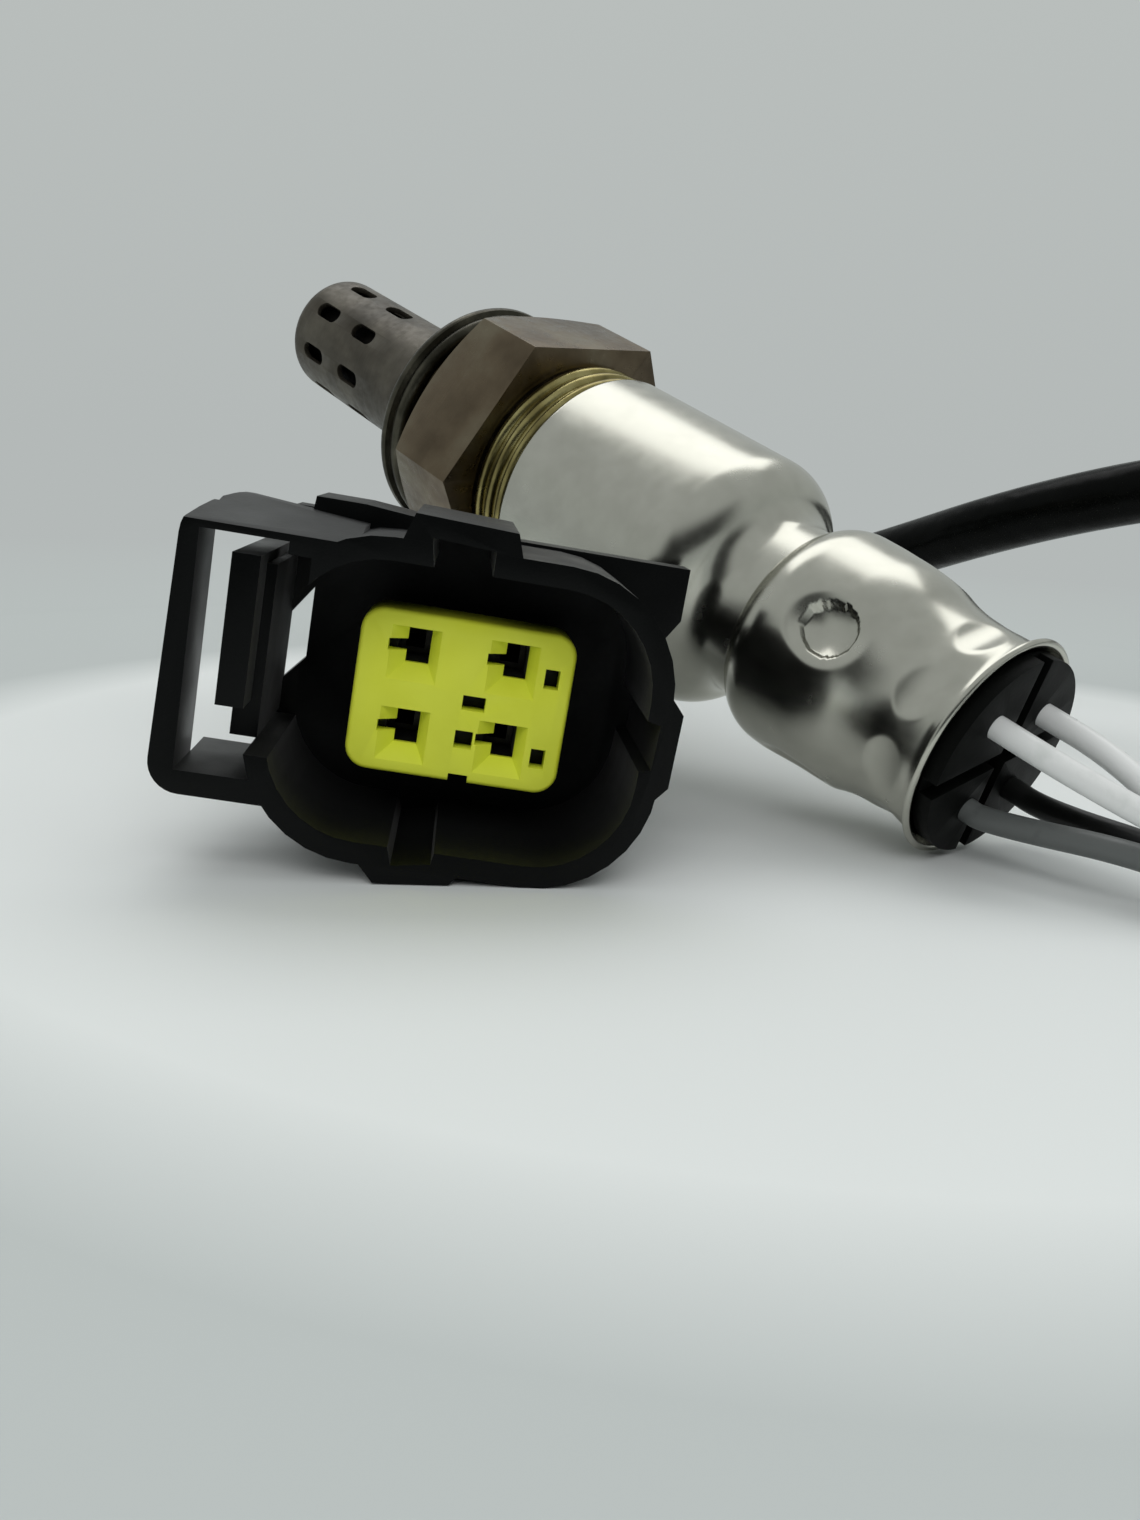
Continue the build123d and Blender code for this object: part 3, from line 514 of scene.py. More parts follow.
def to_bmesh(item: bpy.types.Object) -> BMesh:
    """Take the mesh out of an object and let the object go.

    Args:
        item: The object.

    Returns:
        Its mesh.
    """
    bm, spare = bmesh.new(), item.data
    bm.from_mesh(spare)
    bpy.data.objects.remove(item)
    bpy.data.meshes.remove(spare)
    return bm


class Carving:
    """A closed mesh that other meshes are joined to or cut from."""

    def __init__(self, bm: BMesh) -> None:
        """Start from a closed mesh."""
        self.item = to_object("carving", bm)

    def _bake(self) -> "Carving":
        """Replace the mesh by what its modifiers make of it.

        Returns:
            This carving.
        """
        graph = bpy.context.evaluated_depsgraph_get()
        made = bpy.data.meshes.new_from_object(self.item.evaluated_get(graph))
        old = self.item.data
        self.item.modifiers.clear()
        self.item.data = made
        bpy.data.meshes.remove(old)
        return self

    def _apply(self, other: BMesh, operation: str) -> "Carving":
        """Run one boolean and keep its result.

        Args:
            other: The other mesh. It is freed.
            operation: What is done with it.

        Returns:
            This carving.
        """
        tool = to_object("tool", other)
        change = self.item.modifiers.new("carve", "BOOLEAN")
        change.operation, change.solver, change.object = operation, "EXACT", tool
        self._bake()
        to_bmesh(tool).free()
        return self

    def add(self, other: BMesh) -> "Carving":
        """Join another mesh."""
        return self._apply(other, "UNION")

    def cut(self, other: BMesh) -> "Carving":
        """Cut another mesh away."""
        return self._apply(other, "DIFFERENCE")

    def keep(self, other: BMesh) -> "Carving":
        """Keep only what lies in another mesh."""
        return self._apply(other, "INTERSECT")

    def soften(self, width: float, segments: int, angle: float) -> "Carving":
        """Round the sharp edges.

        Args:
            width: Bevel width.
            segments: Steps in each bevel.
            angle: Edges sharper than this are rounded, in degrees.

        Returns:
            This carving.
        """
        change = self.item.modifiers.new("soften", "BEVEL")
        change.width, change.segments, change.limit_method = width, segments, "ANGLE"
        change.angle_limit, change.use_clamp_overlap = math.radians(angle), True
        return self._bake()

    def mesh(self) -> BMesh:
        """Give the mesh and let the object go."""
        return to_bmesh(self.item)


def place(name: str, bm: BMesh, kind: Frame3, finish: Finish, nodes: Sequence[str],
          smooth_angle: float) -> bpy.types.Object:
    """Turn a mesh drawn in a local frame into a piece of the part.

    Args:
        name: Name of the piece.
        bm: The mesh, in millimetres. It is freed.
        kind: Frame in which it was drawn.
        finish: Its finish.
        nodes: Solids of the frame that it stands for.
        smooth_angle: Edges flatter than this shade as smooth, in degrees.

    Returns:
        The object.
    """
    bmesh.ops.transform(bm, matrix=local_frame(kind), verts=bm.verts)
    limit = math.radians(smooth_angle)
    for face in bm.faces:
        face.smooth = True
    for edge in bm.edges:
        edge.smooth = len(edge.link_faces) == 2 and edge.calc_face_angle(0.0) < limit
    return dress(to_object(name, bm), finish, nodes)


def dress(item: bpy.types.Object, finish: Finish, nodes: Sequence[str]) -> bpy.types.Object:
    """Give a piece its finish and its body.

    Args:
        item: The piece.
        finish: Its finish.
        nodes: Solids of the frame that it stands for.

    Returns:
        The same piece.
    """
    item.data.materials.clear()
    item.data.materials.append(finish.material())
    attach(item, "root")
    if nodes:
        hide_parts(*nodes)
    log.info("piece %s: %s", item.name, finish.name)
    return item


# ---- sensor pieces
@dataclass
class ProtectionTube:
    """Slotted outer cup round the dark inner one.

    Attributes:
        cone_z: Where the cup starts to widen, and where it stops.
        flange_z: Front and back of the flange in the housing.
        body_r: Radius where the cup starts to widen.
        slot_rows: Middle of each row of slots.
        slot_size: Length and width of a slot.
        slot_from: Radius from which the cutters run outwards.
        phase: Angle of the first slot, degrees.
    """

    tip_z: float = -36.8
    cone_z: Point2 = (-21.5, -16.5)
    flange_z: Point2 = (-14.3, -13.85)
    tip_r: float = 5.44
    body_r: float = 5.5
    base_r: float = 5.9
    flange_r: float = 6.6
    edge_r: float = 1.3
    wall: float = 0.5
    slot_rows: tuple[float, ...] = (-32.3, -26.1)
    slot_size: Point2 = (3.4, 1.5)
    slot_from: float = 4.4
    columns: int = 8
    phase: float = 11.0

    def _cup(self) -> BMesh:
        """Spin the outer cup with its flange.

        Returns:
            The cup.
        """
        tip, w, e = self.tip_z, self.wall, self.edge_r
        (start, stop), (front, back) = self.cone_z, self.flange_z
        outer = arc((self.tip_r - e, tip + e), e, -90, 0, 8) + run((self.tip_r, tip + e), (self.body_r, start), 3)
        outer += run((self.body_r, start), (self.base_r, stop), 3)
        outer += [(self.base_r, front), (self.flange_r, front), (self.flange_r, back)]
        inner = [(self.base_r - w, back), (self.base_r - w, stop), (self.body_r - w, start), (self.tip_r - w, tip + e)]
        inner += arc((self.tip_r - e, tip + e), e - w, 0, -90, 5)
        return lathe([(0.0, tip), *outer, *inner, (0.0, tip + w)], 128, closed=False)

    def _slots(self) -> BMesh:
        """Draw the cutters of all slots.

        Returns:
            One mesh with all of them.
        """
        length, width = self.slot_size
        bm = bmesh.new()
        for z in self.slot_rows:
            for i in range(self.columns):
                one = rounded_prism(width, length, width / 2 - 0.01, 0.0, 4.0)
                turn = Matrix.Rotation(math.radians(self.phase + 360 / self.columns * i), 4, "Z")
                stand = turn @ Matrix.Translation((self.slot_from, 0, z)) @ Matrix.Rotation(math.pi / 2, 4, "Y")
                bmesh.ops.transform(one, matrix=stand @ Matrix.Rotation(math.pi / 2, 4, "Z"), verts=one.verts)
                mesh = bpy.data.meshes.new("slot")
                one.to_mesh(mesh)
                one.free()
                bm.from_mesh(mesh)
                bpy.data.meshes.remove(mesh)
        return bm

    def build(self) -> None:
        """Cut the slots and round their edges."""
        shell = Carving(self._cup()).cut(self._slots()).soften(0.12, 2, 50).mesh()
        place("slotted_tip", shell, Frame3.SENSOR, TUBE, ["outer_protection_tube"], 35)


@dataclass
class HexHousing:
    """Hex with its thread, relief and boss.

    Attributes:
        across: Size across the flats.
        roll: Turn of the hex about the axis, degrees.
        face_r: Radius of the chamfered washer face.
        thread_r: Radius over the crests.
        root_r: Radius in the roots.
        thread_z: Front and back of the thread.
        relief_r: Radius behind the thread.
        boss_z: Front and back of the boss.
    """

    across: float = 22.0
    length: float = 8.0
    roll: float = 3.5
    face_r: float = 11.0
    thread_r: float = 9.0
    root_r: float = 8.25
    pitch: float = 1.5
    thread_z: Point2 = (-15.0, -9.2)
    relief_r: float = 8.5
    boss_r: float = 9.4
    boss_z: Point2 = (-4.0, 9.0)

    def _hexagon(self) -> BMesh:
        """Draw the hex and chamfer both ends.

        Returns:
            The hex.
        """
        bm = bmesh.new()
        corner_r, size = self.across / 2 / math.cos(math.pi / 6), self.length
        turn = Matrix.Rotation(math.radians(self.roll), 4, "Z") @ Matrix.Translation((0, 0, -size / 2))
        bmesh.ops.create_cone(bm, cap_ends=True, segments=6, radius1=corner_r, radius2=corner_r, depth=size,
                              matrix=turn @ Matrix.Rotation(math.radians(30), 4, "Z"))
        limit = [(0, -size), (self.face_r, -size), (14.0, -size + 2.05), (14.0, -0.55), (13.0, 0.0), (0, 0.0)]
        return Carving(bm).keep(lathe(limit, 144, closed=False)).soften(0.22, 3, 20).mesh()

    def _thread(self) -> BMesh:
        """Wind a ridge up the shank.

        Returns:
            The ridge.
        """
        bm = bmesh.new()
        low, half, foot, crest = self.thread_z[0] + 0.75, self.pitch * 0.44, self.root_r - 0.2, self.thread_r
        ridge = [(foot, low - half), (crest - 0.12, low - 0.14), (crest - 0.01, low - 0.07),
                 (crest - 0.01, low + 0.07), (crest - 0.12, low + 0.14), (foot, low + half)]
        face = bm.faces.new([bm.verts.new((r, 0, z)) for r, z in ridge])
        turns = (self.thread_z[1] - low - half) / self.pitch
        steps = int(96 * turns)
        bmesh.ops.spin(bm, geom=[face, *face.edges, *face.verts], cent=(0, 0, 0), axis=(0, 0, 1),
                       dvec=Vector((0, 0, self.pitch * turns / steps)), angle=math.tau * turns, steps=steps)
        bmesh.ops.recalc_face_normals(bm, faces=bm.faces)
        return bm

    def _shank(self) -> BMesh:
        """Spin the root cylinder, relief, boss and bore.

        Returns:
            The shank.
        """
        (z, end), (front, back) = self.thread_z, self.boss_z
        return lathe([
            (6.0, z), (8.0, z), (self.root_r, z + 0.45), (self.root_r, end), (self.relief_r, end + 0.1),
            (self.relief_r, front), (self.boss_r, front), (self.boss_r, back), (7.5, back), (7.5, 7.0), (5.8, 6.9),
            (5.8, -9.6), (4.4, -9.6), (4.4, -13.4), (6.65, -13.4), (6.65, -14.3), (5.95, -14.3), (5.95, z + 0.2),
        ], 128)

    def build(self) -> None:
        """Make the hex, the shank and the thread on it."""
        place("hex_body", self._hexagon(), Frame3.SENSOR, HOUSING, (), 25)
        place("hex_shank", self._shank(), Frame3.SENSOR, THREAD, (), 35)
        place("rolled_thread", self._thread(), Frame3.SENSOR, THREAD, ["hex_housing"], 35)


@dataclass
class SeatGasket:
    """Folded ring in front of the hex, its fold open in a fine seam round the edge.

    Attributes:
        step: How far the rear fold stands back.
        fold_r: Radius of each fold.
    """

    inner_r: float = 9.05
    outer_r: float = 10.4
    step: float = 0.3
    fold_r: float = 0.7
    front: float = -12.8
    back: float = -10.4

    def build(self) -> None:
        """Spin the folded section."""
        r, edge_r = self.fold_r, self.outer_r - self.fold_r
        points = [(self.inner_r, self.front + 0.2), (self.inner_r + 0.2, self.front)]
        points += arc((edge_r, self.front + r), r, -90, 25, 9)
        points += [(self.outer_r - 0.45, (self.front + self.back) / 2)]
        points += arc((edge_r - self.step, self.back - r), r, -5, 90, 8)
        points += [(self.inner_r + 0.2, self.back), (self.inner_r, self.back - 0.2)]
        # The gasket's finish is darkened as painted shade from the hex.
        place("folded_gasket", lathe(points), Frame3.SENSOR, GASKET, ["seat_gasket"], 35)


@dataclass
class CrimpRing:
    """Fine gold-tinted beads between the hex and the main shell.

    Attributes:
        bead_r: Radius of a bead's own round.
    """

    inner_r: float = 9.45
    outer_r: float = 9.85
    bead_r: float = 0.52
    start: float = 0.3
    end: float = 4.25
    beads: int = 3

    def build(self) -> None:
        """Spin the beads in one."""
        pitch = (self.end - self.start) / self.beads
        points = [(self.inner_r, self.start)]
        for i in range(self.beads):
            points += arc((self.outer_r - self.bead_r, self.start + pitch * (i + 0.5)), self.bead_r, -72, 72, 8)
        points.append((self.inner_r, self.end))
        place("beaded_crimp", lathe(points), Frame3.SENSOR, CRIMP, ["crimp_ring"], 50)


@dataclass(frozen=True)
class Dent:
    """A ball or, for a crimp, a bar pressed into the rear shell.

    Attributes:
        count: How many stand round the shell.
        z: Height of the middle.
        radius: Radius of the ball or bar.
        floor_r: How far the deepest point stays from the axis.
        soft: Width over which its edge is eased.
        is_round: Whether it is a ball.
    """

    count: int
    z: float
    radius: float
    floor_r: float
    soft: float
    is_round: bool


def taper(r_from: float, r_to: float, z: float, convex: float, concave: float, steps: int) -> list[Point2]:
    """Two tangent arcs that lead from one radius down to another.

    Args:
        r_from: Larger radius.
        r_to: Smaller radius.
        z: Where the first arc starts.
        convex: Radius of the outer arc.
        concave: Radius of the inner arc.
        steps: Pieces of each arc.

    Returns:
        The points.
    """
    across = (r_from - convex) - (r_to + concave)
    rise = math.sqrt((convex + concave) ** 2 - across**2)
    sweep = math.degrees(math.atan2(rise, -across))
    return (arc((r_from - convex, z), convex, 0, sweep, steps)
            + arc((r_to + concave, z + rise), concave, 180 + sweep, 180, steps))


@dataclass
class MainShell:
    """Bright tube with its shoulder and waist.

    Attributes:
        neck_r: Radius of the waist.
        shoulder_r: Radius of the shoulder's own round.
        waist_r: Radius of the hollow behind it.
        neck_z: Where the straight neck starts, and its end.
    """

    outer_r: float = 10.1
    neck_r: float = 6.9
    wall: float = 0.65
    start: float = 4.25
    shoulder_z: float = 20.0
    shoulder_r: float = 3.6
    waist_r: float = 2.4
    neck_z: Point2 = (25.5, 32.0)

    def build(self) -> None:
        """Spin the shell."""
        w, r, n, z, (neck, end) = self.wall, self.outer_r, self.neck_r, self.shoulder_z, self.neck_z
        convex, concave = self.shoulder_r, self.waist_r
        points = arc((r - 0.25, self.start + 0.25), 0.25, -90, 0, 4) + run((r, self.start + 0.35), (r, z), 10)
        points += taper(r, n, z, convex, concave, 12) + run((n, neck), (n, end), 5)
        points += run((n - w, end), (n - w, neck), 3) + taper(r - w, n - w, z, convex - w, concave + w, 8)[::-1]
        points += [(r - w, 12.0), (r - w, self.start)]
        place("bright_main_shell", lathe(points, 160), Frame3.SENSOR, SHELL, ["main_shell"], 40)


@dataclass
class RearShell:
    """Bright swell with its dimples, crimps and rolled rim.

    Attributes:
        neck_r: Radius of the neck that holds the grommet.
        swell_z: Front and back of the straight stretch of the swell.
        swell_r: Radius of the curves from the swell to the neck.
        mouth_r: Radius of the round front of the swell.
        rim: Middle of the rolled rim.
        dent_turn: Angle of the first dimple and crimp, degrees.
        dents: Wide dish of each dimple, the dent in it, and the crimps round the neck.
    """

    outer_r: float = 8.5
    neck_r: float = 7.3
    wall: float = 0.5
    swell_z: Point2 = (30.2, 34.2)
    swell_r: float = 10.0
    mouth_r: float = 3.5
    flare_z: float = 43.9
    flare_r: float = 1.38
    rim: Point2 = (7.77, 44.83)
    rim_r: float = 0.28
    dent_turn: float = 151.6
    dents: tuple[Dent, ...] = (
        Dent(4, 35.1, 9.0, 7.78, 0.3, True), Dent(4, 34.2, 3.4, 7.64, 0.65, True), Dent(8, 42.0, 3.4, 7.0, 0.1, False),
    )

    def _press(self, bm: BMesh) -> None:
        """Push the dents into the spun shell, its inner side with its outer one.

        Args:
            bm: The shell.
        """
        tools = []
        for dent in self.dents:
            for i in range(dent.count):
                turn = math.radians(self.dent_turn + 360 / dent.count * i)
                tools.append((dent, Vector((math.cos(turn), math.sin(turn), 0))))
        for vert in bm.verts:
            is_inner = math.hypot(vert.co.x, vert.co.y) < self._skin(vert.co.z) - self.wall * 0.6
            for dent, out in tools:
                side = Vector((-out.y, out.x, 0)).dot(vert.co) if dent.is_round else 0.0
                ball = dent.radius + (self.wall if is_inner else 0.0)
                gap = (vert.co.z - dent.z) ** 2 + side**2
                if gap >= ball**2 or vert.co.dot(out) < 0:
                    continue
                over = vert.co.dot(out) - (dent.floor_r + dent.radius - math.sqrt(ball**2 - gap))
                if over > -dent.soft:
                    push = over if over > dent.soft else (over + dent.soft) ** 2 / (4 * dent.soft)
                    vert.co -= out * push
                    is_inner = math.hypot(vert.co.x, vert.co.y) < self._skin(vert.co.z) - self.wall * 0.6

    def _skin(self, z: float) -> float:
        """Radius of the outer skin before it is pressed.

        Args:
            z: Height along the axis.

        Returns:
            The radius.
        """
        if z < self.swell_z[1]:
            return self.outer_r
        chain = taper(self.outer_r, self.neck_r, self.swell_z[1], self.swell_r, self.swell_r, 26)
        for (r0, z0), (r1, z1) in zip(chain, chain[1:]):
            if z0 <= z <= z1 and z1 > z0:
                return r0 + (r1 - r0) * (z - z0) / (z1 - z0)
        return self.neck_r

    def build(self) -> None:
        """Spin and press the shell."""
        w, r, n, m, (front, back) = self.wall, self.outer_r, self.neck_r, self.mouth_r, self.swell_z
        points = [(6.98, 27.66), (7.2, 27.5)]
        points += arc((r - m, front), m, math.degrees(math.asin(-2.5 / m)), 0, 9) + run((r, front), (r, back), 22)
        points += taper(r, n, back, self.swell_r, self.swell_r, 34)
        top = points[-1][1]
        points += run((n, top), (n, self.flare_z), 26)
        points += arc((n + self.flare_r, self.flare_z), self.flare_r, 180, 126, 10)
        points += arc(self.rim, self.rim_r, -20, 165, 9) + [(7.42, 44.75)]
        points += run((n - w, self.flare_z), (n - w, top), 12)
        points += taper(r - w, n - w, back, self.swell_r - w, self.swell_r + w, 22)[::-1]
        points += run((r - w, back), (r - w, front), 12) + [(6.98, 28.0)]
        bm = lathe(points, 300)
        self._press(bm)
        place("dimpled_rear_shell", bm, Frame3.SENSOR, SHELL, ["rear_shell"], 50)


@dataclass
class GrommetFace:
    """Rubber plug with four lobes, each round a wire.

    Attributes:
        level: Face between the lobes.
        lobe_t: How far the lobes stand up.
        pitch_r: Radius of the circle on which the wires lie.
        grooves: Angle of each groove between the lobes, degrees.
    """

    neck_r: float = 6.28
    head_r: float = 7.1
    start: float = 36.6
    level: float = 45.1
    lobe_t: float = 1.0
    lobe_r: float = 7.2
    bore_r: float = 0.855
    pitch_r: float = 4.05
    wires: tuple[float, ...] = (138.5, 47.0, 248.0, 318.0)
    grooves: tuple[float, ...] = (92.75, 193.25)

    def build(self) -> None:
        """Carve the plug and round its lobes."""
        n, low, level, top = self.neck_r, self.start, self.level, self.level + self.lobe_t
        body = Carving(lathe([(0, low), (n, low), (n, 44.3), (self.head_r, 44.95), (self.head_r, level), (0, level)],
                             96, closed=False))
        lobes = Carving(lathe([(0, 44.9), (self.lobe_r, 44.9), (self.lobe_r, top), (0, top)], 96, closed=False))
        for angle in self.grooves:
            groove = slab(-9, 9, -0.55, 0.55, level - 0.02, level + 2)
            bmesh.ops.rotate(groove, cent=(0, 0, 0), matrix=Matrix.Rotation(math.radians(angle), 3, "Z"),
                             verts=groove.verts)
            lobes.cut(groove)
        body.add(lobes.mesh())
        for angle in self.wires:
            bore, turn, end = bmesh.new(), math.radians(angle), 47.0
            at = Vector((self.pitch_r * math.cos(turn), self.pitch_r * math.sin(turn), (low - 1 + end) / 2))
            bmesh.ops.create_cone(bore, cap_ends=True, segments=32, radius1=self.bore_r, radius2=self.bore_r,
                                  depth=end - low + 1, matrix=Matrix.Translation(at))
            body.cut(bore)
        place("grommet_lobes", body.soften(0.16, 3, 40).mesh(), Frame3.SENSOR, GROMMET, ["grommet"], 45)


# ---- plug
PORTS: tuple[Point2, ...] = ((-3.3, 2.85), (-3.3, -2.15), (2.7, 2.85), (2.7, -2.15))


@dataclass
class PlugHousing:
    """Shroud with its keys, latch and guard loop, moulded in one.

    Attributes:
        back: Rear of the shroud.
        block_end: Rear of the block behind it.
        slope: Fall of the loop's top towards the front, degrees.
        deck: Outline of the raised deck that carries the loop.
        flange: Outline of the flange at the rear.
        sight_hole: Outline of the hole beside the latch.
    """

    width: float = 24.0
    height: float = 19.0
    corner_r: float = 7.0
    wall: float = 1.3
    depth: float = 13.0
    back: float = -15.0
    block_end: float = -20.0
    slope: float = 10.0
    deck: tuple[Point2, ...] = ((-10.8, 7.0), (-10.4, 10.6), (-7.4, 10.6), (-1.5, 10.1), (-1.0, 7.0))
    flange: tuple[Point2, ...] = ((-12, -9.0), (12.2, -9.0), (12.2, 4.1), (13.6, 6.3), (13.6, 9.7), (-12, 9.7))
    sight_hole: tuple[Point2, ...] = ((-10.3, 4.6), (-12.2, 1.9), (-12.2, -2.3), (-10.3, -0.1))
    loop: tuple[Point2, ...] = ((-17.1, -6.85), (-7.8, -6.85), (-7.0, -7.65), (-7.0, 9.5), (-16.6, 10.3))
    keys: tuple[tuple[Point2, ...], ...] = (
        ((-4.9, 8.6), (-4.1, 11.0), (1.7, 10.8), (2.4, 8.6)),
        ((10.6, 3.6), (11.9, 3.0), (12.7, 2.1), (12.6, -2.3), (11.6, -3.5), (10.6, -3.5)),
        ((-5.4, -8.6), (-3.6, -10.5), (0.8, -10.0), (1.9, -8.6)),
    )
    keyways: tuple[tuple[Point2, ...], ...] = (
        ((-2.6, 7.6), (-3.0, 9.8), (0.6, 9.6), (0.6, 7.6)),
        ((10.2, 1.6), (11.5, 1.3), (11.4, -1.4), (10.2, -1.7)),
        ((-3.2, -7.6), (-2.7, -9.3), (-0.4, -8.9), (-0.2, -7.6)),
    )

    def _shroud(self) -> Carving:
        """Join the shroud, its keys, the deck, the flange and the rear block.

        Returns:
            The outer form.
        """
        body = Carving(rounded_prism(self.width, self.height, self.corner_r, self.back, 0))
        for key in self.keys:
            body.add(prism(key, -self.depth, -0.01))
        body.add(prism(self.deck, self.back + 0.02, -8))
        body.add(prism(self.flange, self.back + 0.01, self.back + 3, {0: 7.0, 1: 7.0}))
        return body.add(rounded_prism(19.0, 15.6, 3.0, self.block_end, self.back + 0.03))

    def _loop(self) -> BMesh:
        """Draw the open guard loop beside the shroud, its top falling towards the front.

        Returns:
            The loop.
        """
        loop = Carving(prism(self.loop, -9.0, 0.0, {0: 1.9, 4: 2.4}))
        loop.cut(slab(-15.6, -10.7, -5.45, 8.3, -10, 1))
        loop.cut(slab(-18, -15.58, -8, 11, -10, -5.0))
        above = slab(-20, 0, 0, 12, 0, 20)
        stand = Matrix.Translation((0, 10.3, -9.0)) @ Matrix.Rotation(math.radians(self.slope), 4, "X")
        bmesh.ops.transform(above, matrix=stand, verts=above.verts)
        return loop.cut(above).mesh()

    def _hollow(self, body: Carving) -> None:
        """Open the socket, its keyways, the latch gap and the seal pocket.

        Args:
            body: The outer form.
        """
        inset = 2 * self.wall
        body.cut(rounded_prism(self.width - inset, self.height - inset, self.corner_r - self.wall, -self.depth, 1))
        for keyway in self.keyways:
            body.cut(prism(keyway, -self.depth, 1.01))
        body.cut(slab(-13.0, -9.4, -4.0, 7.6, -self.depth + 0.01, 1.02))
        body.cut(prism(self.sight_hole, self.back - 1, 0))
        body.cut(rounded_prism(13.4, 10.4, 3.0, self.block_end - 1, -17.4))

    def build(self) -> bpy.types.Object:
        """Carve the housing with its latch and tower, and round its moulded edges.

        Returns:
            The housing.
        """
        body = self._shroud().add(self._loop())
        self._hollow(body)
        body.add(slab(-13.8, -12.2, -1.5, 7.2, self.back + 0.04, -0.6))
        body.add(slab(-13.2, -11.6, -3.7, 6.6, -13.5, -3.4))
        body.add(rounded_prism(12.0, 8.9, 1.4, -13.5, -6.4))
        for x, y in PORTS:
            body.cut(slab(x - 1.0, x + 1.0, y - 1.0, y + 1.0, -18.4, 1))
        bm = body.soften(0.28, 3, 35).mesh()
        return place("plug_housing", bm, Frame3.SOCKET, PLUG, ["connector_housing"], 40)


@dataclass
class TerminalHolder:
    """Coloured cap over the tower, with a funnel and a T port for each terminal.

    Attributes:
        floor: Inner side of the face.
        openings: Limits of each small opening across and up, and where it starts.
    """

    width: float = 13.1
    height: float = 10.0
    corner_r: float = 1.4
    front: float = -5.0
    floor: float = -6.4
    skirt: float = -9.2
    openings: tuple[tuple[float, ...], ...] = (
        (-0.05, 1.05, -2.85, -1.75, -7.4), (0.1, 1.5, -0.45, 0.45, -7.4), (4.8, 5.7, 1.6, 2.8, -7.4),
        (4.7, 5.6, -3.4, -2.2, -7.4), (-0.1, 1.1, -6.0, -4.5, -10.2),
    )

    def _funnel(self, x: float, y: float) -> BMesh:
        """Draw the four sloping faces that lead a blade into a port.

        Args:
            x: Middle of the port across.
            y: Middle of the port up.

        Returns:
            The cutter.
        """
        bm = bmesh.new()
        bmesh.ops.create_cube(bm, size=1.0)
        for vert in bm.verts:
            if vert.co.z > 0:
                vert.co = Vector((x + 0.1 + vert.co.x * 3.0, y - 0.45 + vert.co.y * 3.3, self.front + 0.001))
            else:
                vert.co = Vector((x + 0.3 + vert.co.x * 1.4, y + vert.co.y * 2.1, self.front - 1.0))
        return bm

    def build(self) -> bpy.types.Object:
        """Carve the cap.

        Returns:
            The cap.
        """
        low, high = self.floor - 1, self.front + 1
        body = Carving(rounded_prism(self.width, self.height, self.corner_r, self.skirt, self.front)).soften(0.3, 3, 60)
        body.cut(rounded_prism(12.1, 9.0, 1.4, self.skirt - 1, self.floor))
        for x, y in PORTS:
            body.cut(self._funnel(x, y))
            body.cut(slab(x - 0.4, x + 1.0, y - 1.05, y + 1.05, low, high))
            body.cut(slab(x - 1.5, x + 0.1, y - 0.35, y + 0.35, low, high))
        for opening in self.openings:
            body.cut(slab(*opening, high))
        bm = body.soften(0.06, 2, 40).mesh()
        return place("terminal_cap", bm, Frame3.SOCKET, HOLDER, ["terminal_holder"], 35)


